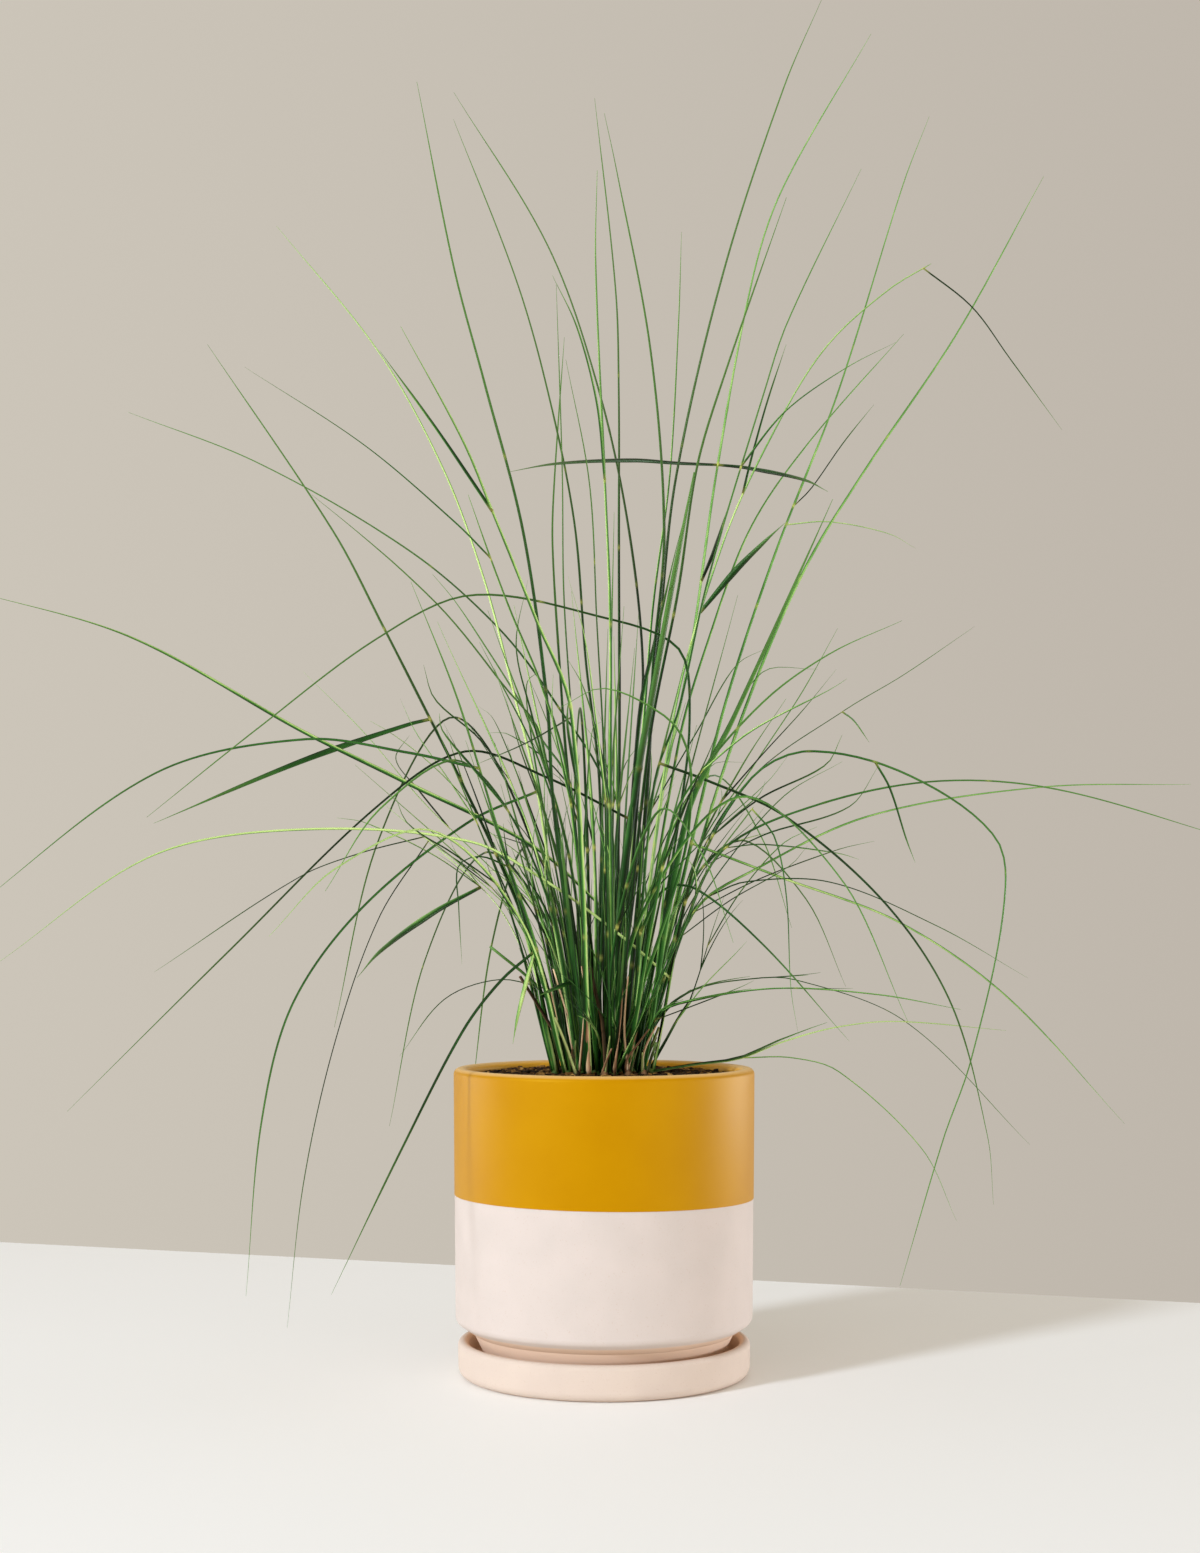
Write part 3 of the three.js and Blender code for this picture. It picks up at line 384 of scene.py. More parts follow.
# %% Dead stubs and dry sheaths that stand among the culms, and where their crowns are
DRY_SPOTS = [[-30, -12], [-20, -25], [-4, -31], [13, -29], [27, -20], [-8, 32], [30, 14], [-30, 16]]
DRY = [
  ["stub", -30, [-30, 221], [-38, 235], [-56, 264]],
  ["stub", -20, [-34, 236], [-42, 255], [-76, 284]],
  ["straw", -45, [-20, 226], [-26, 243], [-34, 269]],
  ["straw", -45, [-13, 240], [-13, 256], [-15, 271]],
  ["stub", -40, [-1, 232], [-5, 250], [-9, 270]],
  ["straw", -48, [1, 206], [5, 216]],
  ["straw", -40, [13.5, 225], [14.5, 250], [16, 264]],
  ["straw", -50, [15, 208], [21, 217], [30, 229]],
  ["straw", -40, [26, 211], [30, 222], [35, 231]],
]
print(len(DRY), "dead pieces were read")

# %% One row of seeded numbers
random_state = {"seed": 8}


def draw(low, high):
    """The next number of the row, between low and high."""
    random_state["seed"] = (random_state["seed"] * 1664525 + 1013904223) % 4294967296
    return low + ((high - low) * random_state["seed"]) / 4294967296


# %% The pot's main sizes, and the soil's surface
SAUCER_HEIGHT = 23.5
POT_RADIUS = 100
POT_BORE = 90
POT_TOP = 203.5
SOIL_LEVEL = 198
SOIL_MOUND = 1.6
SOIL_ROUGHNESS = 0.5


def soil_height(x, y):
    mound = SOIL_MOUND * (1 - (x * x + y * y) / (POT_BORE * POT_BORE))
    clods = np.sin(x * 0.21 + 1.3) * np.cos(y * 0.17 - 0.4) + np.sin(x * 0.09 - y * 0.13)
    return SOIL_LEVEL + mound + SOIL_ROUGHNESS * clods


print("the soil lies", POT_TOP - SOIL_LEVEL, "mm under the rim")

# %% Crowns, the short woody bases that the culms spring from
CLUMP_RADIUS = 34
CROWN_COUNT = 42
CROWN_RADIUS = 3.5
CROWN_DEPTH = 20
CROWN_TOP = SOIL_LEVEL + 5
CULMS_AT_CROWN = 3
ROOT_LEVEL = SOIL_LEVEL + 2.5
ROOT_OFFSET = 1.8
ROOT_TURN = 0.4

crowns = []
for i in range(CROWN_COUNT):
    radius = CLUMP_RADIUS * math.sqrt((i + 0.5) / CROWN_COUNT)
    angle = i * math.pi * (3 - math.sqrt(5))
    crowns.append({"x": radius * math.cos(angle), "y": radius * math.sin(angle), "dry": False, "culms": []})


# %% Places for culms on a crown


def slot_turn(crown, slot):
    return math.atan2(crown["y"], crown["x"]) + ROOT_TURN + slot * 2 * math.pi / CULMS_AT_CROWN


def root_of(crown, slot):
    turn = slot_turn(crown, slot)
    return np.array([
        crown["x"] + ROOT_OFFSET * math.cos(turn),
        crown["y"] + ROOT_OFFSET * math.sin(turn),
        ROOT_LEVEL,
    ])


def slot_towards(crown, heading):
    """The free place on a crown that lies furthest towards a heading."""
    free = [slot for slot in range(CULMS_AT_CROWN) if slot not in crown["culms"]]
    return max(free, key=lambda slot: math.cos(slot_turn(crown, slot) - heading))


def nearest_crown(x, y, fits):
    return min(
        (crown for crown in crowns if fits(crown)),
        key=lambda crown: math.hypot(crown["x"] - x, crown["y"] - y),
    )


def is_green(crown):
    return not crown["dry"] and len(crown["culms"]) < CULMS_AT_CROWN


def is_dry(crown):
    return crown["dry"] and len(crown["culms"]) < CULMS_AT_CROWN


print(len(crowns), "crowns within", CLUMP_RADIUS, "mm of the pot's axis")

# %% A smooth line through a few points


def seen(reading, depth):
    """A reading moved along its line of sight to a depth."""
    scale = 1 + depth / EYE_DISTANCE
    return np.array([reading[0] * scale, depth, EYE_HEIGHT + (reading[1] - EYE_HEIGHT) * scale])


def smooth_line(points, shares):
    """Points on the smooth line through the given ones, at shares of its length from root to tip."""
    points = np.array(points)
    last = len(points) - 1
    knots = np.concatenate([[0], np.cumsum(np.linalg.norm(points[1:] - points[:-1], axis=1))])
    before = np.maximum(np.arange(last + 1) - 1, 0)
    after = np.minimum(np.arange(last + 1) + 1, last)
    slopes = (points[after] - points[before]) / (knots[after] - knots[before])[:, None]
    along = knots[last] * np.asarray(shares, dtype=float)
    part = np.searchsorted(knots[1:last], along, side="left")
    span = knots[part + 1] - knots[part]
    t = ((along - knots[part]) / span)[:, None]
    t2 = t * t
    t3 = t2 * t
    span = span[:, None]
    line = points[part] * (2 * t3 - 3 * t2 + 1)
    line = line + slopes[part] * ((t3 - 2 * t2 + t) * span)
    line = line + points[part + 1] * (3 * t2 - 2 * t3)
    return line + slopes[part + 1] * ((t3 - t2) * span)


# %% As few straight pieces as the bending allows, and the width along them
BEND_OF_A_PIECE = 0.17
FEWEST_PIECES = 2
MOST_PIECES = 12


def lean_line(points):
    """The same line in as few straight pieces as its bending allows."""
    fine = smooth_line(points, np.arange(25) / 24)
    steps = fine[1:] - fine[:-1]
    dots = np.sum(steps[1:] * steps[:-1], axis=1)
    sizes = np.sqrt(np.sum(steps[1:] ** 2, axis=1) * np.sum(steps[:-1] ** 2, axis=1))
    bend = float(np.sum(np.arccos(np.clip(dots / sizes, -1, 1))))
    pieces = min(MOST_PIECES, max(FEWEST_PIECES, math.ceil(bend / BEND_OF_A_PIECE)))
    return smooth_line(points, np.arange(pieces + 1) / pieces)


def half_widths(form, shares):
    """Half widths along a line, widest a third of the way up a flat leaf."""
    foot, middle, tip, section = FORMS[form]
    peak = 0.35 if section == "keeled" else 0.5
    shares = np.asarray(shares)
    rising = foot + (middle - foot) * shares / peak
    falling = middle + (tip - middle) * (shares - peak) / (1 - peak)
    return np.where(shares < peak, rising, falling)


# %% [markdown]
# ## Keeping stems apart
#
# Stems that grow side by side push each other away, and never pass through one another. So each line
# is first taken as a few straight, thick pieces. It is measured against the pot and against every line
# near it, and gets its place only if all of them are further off than their thickness and a small gap.
# Where it is in the way, its depth or its heading is drawn again. Two straight pieces pass nearest
# where the line between them meets both at a right angle, or at an end.

# %% What stands already
standing = []
lows = []
highs = []
for crown in crowns:
    foot = np.array([crown["x"], crown["y"], SOIL_LEVEL - CROWN_DEPTH])
    top = np.array([crown["x"], crown["y"], CROWN_TOP])
    about = np.array([CROWN_RADIUS, CROWN_RADIUS, 0])
    standing.append({
        "crown": crown,
        "line": np.array([foot, top]),
        "widths": np.array([CROWN_RADIUS, CROWN_RADIUS]),
        "kind": "crown",
    })
    lows.append(foot - about)
    highs.append(top + about)


# %% How far apart two lines pass


def pieces_apart(first, second):
    """Shortest distances between the straight pieces of two lines, as a table."""
    a = first[:-1, None, :]
    u = (first[1:] - first[:-1])[:, None, :]
    c = second[None, :-1, :]
    v = (second[1:] - second[:-1])[None, :, :]
    w = a - c
    uu = np.sum(u * u, axis=2)
    uv = np.sum(u * v, axis=2)
    vv = np.sum(v * v, axis=2)
    uw = np.sum(u * w, axis=2)
    vw = np.sum(v * w, axis=2)
    across = uu * vv - uv * uv
    crossing = (uv * vw - vv * uw) / np.where(across > 1e-9, across, 1)
    s = np.where(across > 1e-9, np.clip(crossing, 0, 1), 0)
    t = np.clip((uv * s + vw) / vv, 0, 1)
    s = np.clip((uv * t - uw) / uu, 0, 1)
    return np.linalg.norm(w + u * s[:, :, None] - v * t[:, :, None], axis=2)


# %% Clear of the pot
GAP = 0.3


def clears_pot(crown, line, widths):
    steps = np.arange(1, 13) / 12
    width = np.maximum(widths[:-1], widths[1:])[:, None] + GAP
    points = line[:-1, None, :] + (line[1:] - line[:-1])[:, None, :] * steps[None, :, None]
    x, y, z = points[:, :, 0], points[:, :, 1], points[:, :, 2]
    out = np.hypot(x, y)
    inside = np.where(out < POT_BORE, soil_height(x, y), POT_TOP)
    level = np.where(out < POT_RADIUS + width, inside, SAUCER_HEIGHT)
    rooted = np.hypot(x - crown["x"], y - crown["y"]) < CROWN_RADIUS
    return not np.any(~rooted & (z < level + width))


# %% Clear of the other lines
ROOT_STRETCH = 9


def off_root(line):
    """A line without the stretch at its root, where it may touch what stands on the same crown."""
    share = min(0.9, ROOT_STRETCH / np.linalg.norm(line[1] - line[0]))
    return np.concatenate([[line[0] + (line[1] - line[0]) * share], line[1:]])


def clears_others(crown, whole, widths, low, high):
    near = np.all(np.array(lows) <= high, axis=1) & np.all(np.array(highs) >= low, axis=1)
    reach = np.maximum(widths[:-1], widths[1:])[:, None] + GAP
    for index in np.flatnonzero(near):
        other = standing[index]
        own = other["crown"] is crown
        if own and other["kind"] == "crown":
            continue
        line = off_root(whole) if own else whole
        least = reach + np.maximum(other["widths"][:-1], other["widths"][1:])[None, :]
        if np.any(pieces_apart(line, other["line"]) < least):
            return False
    return True


# %% Take a place


def stand(crown, form, points, kind, parent=None, share=0):
    """Gives a line its place at its crown if nothing is in its way."""
    line = lean_line(points)
    widths = half_widths(form, np.arange(len(line)) / (len(line) - 1))
    widest = float(np.max(widths)) + GAP
    low = np.min(line, axis=0) - widest
    high = np.max(line, axis=0) + widest
    if not clears_pot(crown, line, widths) or not clears_others(crown, line, widths, low, high):
        return False
    standing.append({
        "crown": crown,
        "line": line,
        "widths": widths,
        "form": form,
        "kind": kind,
        "points": points,
        "parent": parent,
        "share": share,
    })
    lows.append(low)
    highs.append(high)
    return True


# %% Give a reading its depth


def fan_spread(height):
    """How far the fan of culms has spread at a height above the soil, against its width at the soil."""
    return 1 + 0.0062 * height + 0.0000165 * height * height


def in_depth(root, readings, tip_depth):
    """The readings with their depths: a line leaves its root slowly and reaches the tip's depth."""
    spans = []
    length = 0
    before = (root[0], root[2])
    for reading in readings:
        length += math.hypot(reading[0] - before[0], reading[1] - before[1])
        spans.append(length)
        before = reading
    placed = []
    for reading, span in zip(readings, spans):
        t = span / length
        placed.append(seen(reading, root[1] + (tip_depth - root[1]) * (0.5 * t + 0.5 * t * t)))
    return placed


# %% Plant a culm of the picture
TRIES = 240
TRIES_TO_LOOSEN = 60


def plant_culm(stroke, fits, spread):
    form, depth, *readings = stroke
    foot_x = readings[0][0] / fan_spread(readings[0][1] - SOIL_LEVEL)
    for i in range(TRIES):
        # A culm that finds no place may stray a little further at each try
        strayed = i / TRIES_TO_LOOSEN
        loose = spread * (0.3 + strayed)
        tip_depth = depth + draw(-loose, loose)
        foot_y = max(-30, min(30, tip_depth * 0.12)) + draw(-4, 4) * (1 + strayed)
        crown = nearest_crown(foot_x + draw(-2, 2) * (1 + strayed), foot_y, fits)
        first = seen(readings[0], foot_y)
        slot = slot_towards(crown, math.atan2(first[1] - crown["y"], first[0] - crown["x"]))
        root = root_of(crown, slot)
        if stand(crown, form, [root] + in_depth(root, readings, tip_depth), "culm"):
            crown["culms"].append(slot)
            standing[-1]["reading"] = tuple(readings[0])
            return


# %% Find the joint that a leaf of the picture grows from
TRIES_AT_JOINT = 80


def point_on(line, share):
    """The point of a line at a share of its length, on the straight piece that holds it."""
    along = share * (len(line) - 1)
    piece = min(len(line) - 2, math.floor(along))
    return line[piece] + (line[piece + 1] - line[piece]) * (along - piece)


def nearest_joints(start, depth):
    """The places on the green culms that pass nearest to a reading, best first: one for each culm."""
    joints = []
    for culm in standing:
        if culm["kind"] == "culm" and not culm["crown"]["dry"]:
            least = math.inf
            best = 0
            for k in range(4, 100):
                point = point_on(culm["line"], k / 100)
                scale = 1 + point[1] / EYE_DISTANCE
                up = EYE_HEIGHT + (point[2] - EYE_HEIGHT) / scale
                side = abs(point[1] - depth * 0.3) * 0.03
                distance = math.hypot(point[0] / scale - start[0], start[1] - up) + side
                if distance < least:
                    least = distance
                    best = k / 100
            joints.append((least, best, culm))
    return sorted(joints, key=lambda joint: joint[0])


def plant_leaf(stroke):
    form, depth, start, *readings = stroke
    joints = nearest_joints(start, depth)
    for i in range(TRIES):
        share, culm = joints[i // TRIES_AT_JOINT][1:]
        loose = 10 + 2 * (i % TRIES_AT_JOINT)
        tip_depth = depth + draw(-loose, loose)
        root = point_on(culm["line"], share)
        points = [root] + in_depth(root, readings, tip_depth)
        if stand(culm["crown"], form, points, "leaf", culm, share):
            standing[-1]["reading"] = tuple(start)
            return


# %% Plant all that was read
for x, y in DRY_SPOTS:
    nearest_crown(x, y, lambda crown: not crown["dry"])["dry"] = True
for stroke in DRY:
    plant_culm(stroke, is_dry, 4)
for stroke in CULMS:
    plant_culm(stroke, is_green, 20)
for stroke in LEAVES:
    plant_leaf(stroke)
read = len(DRY) + len(CULMS) + len(LEAVES)
print("placed", len(standing) - CROWN_COUNT, "of", read, "lines of the picture")

# %% [markdown]
# ## Growing what the picture doesn't show
#
# One picture shows a fan. A real clump is as deep as it is wide, so long culms arch to the front and
# the back as well, shorter ones fill each crown, and leaves come from the lower joints. All of this is
# drawn from the same row of seeded numbers, so the plant is the same each time.

# %% Fill a crown with shorter culms
FILL_TRIES = 40


def out_from(root, heading, reach, rise):
    return root + np.array([reach * math.cos(heading), reach * math.sin(heading), rise])


def fill_crown(crown, most):
    """Shorter culms fill the clump: the further out a crown stands, the more its culms lean."""
    out = math.hypot(crown["x"], crown["y"]) / CLUMP_RADIUS
    for _ in range(FILL_TRIES):
        if len(crown["culms"]) >= most:
            return
        heading = math.atan2(crown["y"], crown["x"]) + draw(-0.8, 0.8)
        rise = draw(110, 350) * (1.1 - 0.25 * out)
        lean = 0.04 + 0.2 * out + draw(-0.05, 0.08)
        bow = draw(0.02, 0.12)
        slot = slot_towards(crown, heading)
        root = root_of(crown, slot)
        middle = out_from(root, heading, lean * rise * 0.5, rise * 0.5)
        tip = out_from(root, heading, (lean + bow) * rise, rise)
        form = "stout" if draw(0, 1) < 0.6 else "slender"
        if stand(crown, form, [root, middle, tip], "culm"):
            crown["culms"].append(slot)


# %% Arch to the front and the back
ARCHES_BEHIND = {
    "count": 7, "from": 0.7, "to": 2.5, "reach": (180, 320), "top": (330, 470), "end": (110, 330),
}
ARCHES_BEFORE = {
    "count": 4, "from": -2.5, "to": -0.64, "reach": (170, 280), "top": (330, 400), "end": (230, 330),
}


def plant_arch(heading, reach, top, end):
    """Arching culms carry the plant as far to the front and the back as to the sides."""
    for i in range(TRIES):
        loose = 0.12 + i / 400
        turn = heading + draw(-loose, loose)
        far = reach * draw(0.9, 1.1)
        ring = 0.8 * CLUMP_RADIUS
        place = [ring * math.cos(turn) + draw(-5, 5), ring * math.sin(turn) + draw(-5, 5)]
        crown = nearest_crown(place[0], place[1], is_green)
        slot = slot_towards(crown, turn)
        root = root_of(crown, slot)
        points = [
            root,
            out_from(root, turn, far * 0.16, (top - ROOT_LEVEL) * 0.62),
            out_from(root, turn, far * 0.48, top - ROOT_LEVEL),
            out_from(root, turn, far * 0.8, (top + end) / 2 - ROOT_LEVEL + (top - end) * 0.12),
            out_from(root, turn, far, end - ROOT_LEVEL),
        ]
        if stand(crown, "slender", points, "culm"):
            crown["culms"].append(slot)
            return


def plant_arches(row):
    for i in range(row["count"]):
        heading = row["from"] + (i * (row["to"] - row["from"])) / (row["count"] - 1)
        plant_arch(heading, draw(*row["reach"]), draw(*row["top"]), draw(*row["end"]))


# %% Grow leaves on a culm
HIGHEST_JOINT = 400
LEAFY_SHARE = 0.5
LEAF_TRIES = 12


def grow_leaves(culm, count):
    """Leaves grow from the lower joints of a culm, first along it and then out."""
    grown = 0
    for _ in range(LEAF_TRIES):
        if grown >= count:
            return
        share = draw(0.12, 0.8)
        root = point_on(culm["line"], share)
        rise = point_on(culm["line"], share + 0.1) - root
        rise = rise / np.linalg.norm(rise)
        heading = math.atan2(root[1], root[0]) + draw(-1.1, 1.1)
        length = draw(45, 150)
        out = np.array([math.cos(heading), math.sin(heading), 0])
        near = root + rise * 0.36 * length + out * 0.1 * length
        far = near + rise * 0.32 * length + out * draw(0.1, 0.3) * length
        tip = far + out * draw(0.08, 0.26) * length
        tip[2] += draw(0, 0.3) * length
        form = "leaf" if draw(0, 1) < 0.2 else "fine"
        fitting = root[2] < HIGHEST_JOINT and rise[2] > 0.4
        if fitting and stand(culm["crown"], form, [root, near, far, tip], "leaf", culm, share):
            grown += 1


# %% Keep stubs on a dead crown
STUB_TRIES = 20


def grow_stubs(crown):
    """A dead crown keeps a few short broken stubs."""
    for _ in range(STUB_TRIES):
        if len(crown["culms"]) >= CULMS_AT_CROWN:
            return
        heading = math.atan2(crown["y"], crown["x"]) + draw(-1.2, 1.2)
        rise = draw(12, 45)
        slot = slot_towards(crown, heading)
        root = root_of(crown, slot)
        tip = out_from(root, heading, rise * draw(0.15, 0.5), rise)
        middle = (root + tip) / 2 + np.array([0, 0, rise * 0.04])
        form = "stub" if draw(0, 1) < 0.5 else "straw"
        if stand(crown, form, [root, middle, tip], "culm"):
            crown["culms"].append(slot)


# %% Grow it all
plant_arches(ARCHES_BEHIND)
plant_arches(ARCHES_BEFORE)
for crown in crowns:
    if crown["dry"]:
        grow_stubs(crown)
    else:
        fill_crown(crown, CULMS_AT_CROWN)
for culm in [one for one in standing if one["kind"] == "culm" and not one["crown"]["dry"]]:
    grow_leaves(culm, 2 if draw(0, 1) < LEAFY_SHARE else 1)
print("lines in the clump:", len(standing) - CROWN_COUNT)

# %% [markdown]
# ## Living grass
#
# A leaf of this grass is a stiff narrow blade with a waxy skin over fine lengthwise veins. The skin
# gives a satin gloss that runs as one bright line down each stem. Each blade is folded or ribbed, and
# light is painted on one half of it, which is made lighter than the other. No two stems are the same
# green: young ones are yellower, old and shaded ones are nearly blue-green.
#
# A texture painted on each blade would be heavy and would repeat. Instead every blade carries a few
# numbers at its corners, such as how far along it a point lies and how green it is, and one material
# turns those numbers into colour.

# %% Living grass
TAGS = ("tone", "along", "pale", "dead", "across")
VEIN_WAVES = 26


def living_grass():
    material, shader, add = new_material("living_grass")
    place = add("TexCoord").outputs["Object"]
    tags = {name: add("Attribute", {"attribute_name": name}).outputs["Fac"] for name in TAGS}
    # Patches of a few centimetres, where a blade grew in more or less light
    patches = add("TexNoise", {"Scale": per_mm(30), "Detail": 3.0}, {"Vector": place})
    patch = add("Math", {"operation": "MULTIPLY_ADD", 1: 0.5, 2: -0.25}, {0: patches})
    # Painted light: one half of each blade, chosen at random, is made lighter than the other, as if it
    # faced the lamp
    lit_half = add("Math", {"operation": "MULTIPLY_ADD", 1: 0.46}, {0: tags["across"], 2: patch})
    greener = add("Math", {"operation": "ADD", "use_clamp": True}, {0: tags["tone"], 1: lit_half})
    green = add("ValToRGB", {"ramp": [
        (0.0, "#041203"), (0.22, "#0a2608"), (0.45, "#164112"),
        (0.68, "#316524"), (0.85, "#6ea348"), (1.0, "#c6df86"),
    ]}, {"Fac": greener})
    # Low in the clump the stems are darkest, because little light comes there
    height = add("SeparateXYZ", None, {"Vector": place}).outputs["Z"]
    low = add("MapRange", {"From Min": 0.2, "From Max": 0.34, "To Min": 0.95}, {"Value": height})
    shaded = add("Mix", {"data_type": "RGBA", "blend_type": "MULTIPLY", 0: 1.0}, {6: green, 7: low})
    # Painted light: towards its tip a blade is made lighter and yellower, as the tips stand in more light
    # than the heart of the clump
    tip_light = add("MapRange", {"From Min": 0.5, "To Max": 0.6}, {"Value": tags["along"]})
    lit = add("Mix", {"data_type": "RGBA", 7: "#6f9d47"}, {0: tip_light, 6: shaded})
    # The soft ring at a joint is a paler yellow-green
    jointed = add("Mix", {"data_type": "RGBA", 7: "#c3c060"}, {0: tags["pale"], 6: lit})
    withered = add("ValToRGB", {"ramp": [
        (0.0, "#2b1a10"), (0.35, "#5b3e29"), (0.6, "#93694a"), (0.85, "#d0a67c"), (1.0, "#f2d3a8"),
    ]}, {"Fac": greener})
    body = add("Mix", {"data_type": "RGBA"}, {0: tags["dead"], 6: jointed, 7: withered})
    # Real veins are a tenth of a millimetre apart, too fine to show, so these are drawn coarser
    veins = add("Math", {"operation": "MULTIPLY", 1: VEIN_WAVES}, {0: tags["across"]})
    ridges = add("Math", {"operation": "SINE"}, {0: veins})
    bump = add("Bump", {"Strength": 0.25, "Distance": 0.0001}, {"Height": ridges})
    # Living skin is waxed and satin, dry skin is matt
    gloss = add("MapRange", {"To Min": 0.4, "To Max": 0.75}, {"Value": tags["dead"]})
    # The wax lets light into the green skin and out again, so the gloss is greenish too
    add(shader, {"IOR": 1.34, "Specular Tint": (0.7, 1.0, 0.5, 1.0)},
        {"Base Color": body, "Normal": bump, "Roughness": gloss})
    return material


grass_skin = living_grass()

# %% [markdown]
# ## Round culms, rolled leaves and keeled blades
#
# Each stem or leaf is one section carried along its line. A culm in its sheaths is a slightly
# flattened round. A fine leaf of this grass rolls in on itself, so its section is a shallow gutter. A
# broad blade is folded a little along its midrib. A curve with a bevel could draw the culms, but not
# the gutter, the keel or the swollen joints, so the rings of corners are laid out by hand.

# %% Sections, for a half width of one
SECTIONS = {
    "round": [(math.cos(k * math.pi / 4), 0.72 * math.sin(k * math.pi / 4)) for k in range(8)],
    "rolled": [(0.9, 0.3), (0.5, 0.05), (0, -0.1), (-0.5, 0.05),
               (-0.9, 0.3), (-0.6, -0.3), (0, -0.55), (0.6, -0.3)],
    "keeled": [(1, 0.3), (0.5, 0.06), (0, -0.14), (-0.5, 0.06),
               (-1, 0.3), (-0.5, -0.14), (0, -0.38), (0.5, -0.14)],
}
# Broad leaves that have twisted on their foot until they show their face to the front
TWISTED = ("blade", "broad", "sword")
FRONT = np.array([0.0, -1.0, 0.0])
dice = np.random.default_rng(5)

# %% Two directions across a path


def frames_along(path, twisted=False):
    """Two directions across a path at each of its points."""
    along = np.gradient(path, axis=0)
    along = along / np.linalg.norm(along, axis=1)[:, None]
    towards = path[-1] - path[0]
    side = np.array([-towards[1], towards[0], 0.0])
    side = side / np.linalg.norm(side)
    sides = []
    for direction in along:
        side = np.cross(direction, FRONT) if twisted else side - direction * (side @ direction)
        side = side / np.linalg.norm(side)
        sides.append(side)
    sides = np.array(sides)
    return sides, np.cross(along, sides)


# %% A sheaf of blades in one object


class Sheaf:
    """Gathers the corners, faces and tags of many blades for one object."""

    def __init__(self):
        self.corners = []
        self.faces = []
        self.tags = {name: [] for name in TAGS}
        self.count = 0

    def add(self, path, widths, section, tone, twisted=False, turn=0.0, pale=0.0, dead=0.0):
        path = np.asarray(path)
        rings = len(path)
        loop = np.array(SECTIONS[section])
        size = len(loop)
        sides, ups = frames_along(path, twisted)
        turns = np.linspace(0, turn, rings)[:, None]
        cos, sin = np.cos(turns), np.sin(turns)
        sides, ups = sides * cos + ups * sin, ups * cos - sides * sin
        across = (widths[:, None] * loop[None, :, 0])[:, :, None]
        high = (widths[:, None] * loop[None, :, 1])[:, :, None]
        corners = path[:, None] + sides[:, None] * across + ups[:, None] * high
        self.corners.append(corners.reshape(-1, 3))
        start = self.count
        for i in range(rings - 1):
            for j in range(size):
                k = (j + 1) % size
                low = start + i * size
                self.faces.append((low + j, low + k, low + size + k, low + size + j))
        self.faces.append(tuple(start + j for j in reversed(range(size))))
        self.faces.append(tuple(start + (rings - 1) * size + j for j in range(size)))
        self.count += rings * size
        # Painted light: a random half of the blade is tagged to be painted lighter, and the other half
        # darker
        painted_lit_half = dice.choice([-1, 1]) * dice.uniform(0.3, 1)
        values = {"tone": tone, "along": np.arange(rings) / (rings - 1), "pale": pale, "dead": dead}
        for name, value in values.items():
            self.tags[name].append(np.repeat(np.broadcast_to(value, rings), size))
        self.tags["across"].append(np.tile(loop[:, 0] * painted_lit_half, rings))

    def make(self, name):
        made = make_object(name, np.concatenate(self.corners), self.faces, grass_skin)
        for tag, values in self.tags.items():
            add_tag(made, tag, np.concatenate(values))
        return made


def add_tag(made, name, values):
    """One number at each corner, which a material can read."""
    layer = made.data.attributes.new(name=name, type="FLOAT", domain="POINT")
    layer.data.foreach_set("value", np.asarray(values, dtype=np.float32))


# %% The fine line of each stem and leaf


def fine_points(one):
    """The points of a line. A leaf starts on the fine line of its culm."""
    points = [np.array(point, dtype=float) for point in one["points"]]
    if one["parent"] is not None:
        points[0] = smooth_line(fine_points(one["parent"]), [one["share"]])[0]
    return points


def line_length(points):
    points = np.array(points)
    return float(np.sum(np.linalg.norm(points[1:] - points[:-1], axis=1)))


# %% A culm with its joints


def add_culm(sheaf, one, tone, joints):
    """A culm, swollen and pale at its joints, and thicker in the sheath above each of them."""
    points = fine_points(one)
    length = line_length(points)
    shares = set(np.linspace(0, 1, max(8, round(length / 9))).tolist())
    for joint, _ in joints:
        shares.update(joint + offset / length for offset in (-3, -1.2, 0, 1.2, 3))
    shares = np.array(sorted(share for share in shares if 0 <= share <= 1))
    widths = half_widths(one["form"], shares)
    # It narrows over its last stretch, but stays thick enough for the last leaf that it carries
    last_stretch = min(60, max(4, (1 - max(share for share, _ in joints)) * length)) if joints else 60
    widths = widths * (0.3 + 0.7 * np.clip((1 - shares) * length / last_stretch, 0, 1))
    pale = np.zeros(len(shares))
    for joint, paleness in joints:
        apart = (shares - joint) * length
        widths = widths * (1 + 0.15 * np.exp(-(apart / 1.5) ** 2))
        pale = np.maximum(pale, paleness * np.exp(-(apart / 1.6) ** 2))
        widths = np.where((apart > 0) & (apart < 45), widths * 1.06, widths)
    form = one["form"]
    path = smooth_line(points, shares)
    turn = dice.uniform(-1, 1) * (0.2 if form in TWISTED else 1)
    sheaf.add(path, widths, FORMS[form][3], tone, form in TWISTED, turn, pale)


# %% A leaf with its fine point


def add_leaf(sheaf, one, tone):
    """A leaf that narrows to a fine point."""
    points = fine_points(one)
    length = line_length(points)
    form = one["form"]
    shares = np.linspace(0, 1, max(9, round(length / 6)))
    widths = half_widths(form, shares)
    widths = widths * (0.2 + 0.8 * np.clip((1 - shares) * 3.5, 0, 1))
    pale = 0.5 * np.exp(-(shares * length / 3) ** 2)
    turn = dice.uniform(-0.5, 0.5) if form in TWISTED else dice.uniform(-1.4, 1.4)
    sheaf.add(smooth_line(points, shares), widths, FORMS[form][3], tone, form in TWISTED, turn, pale)


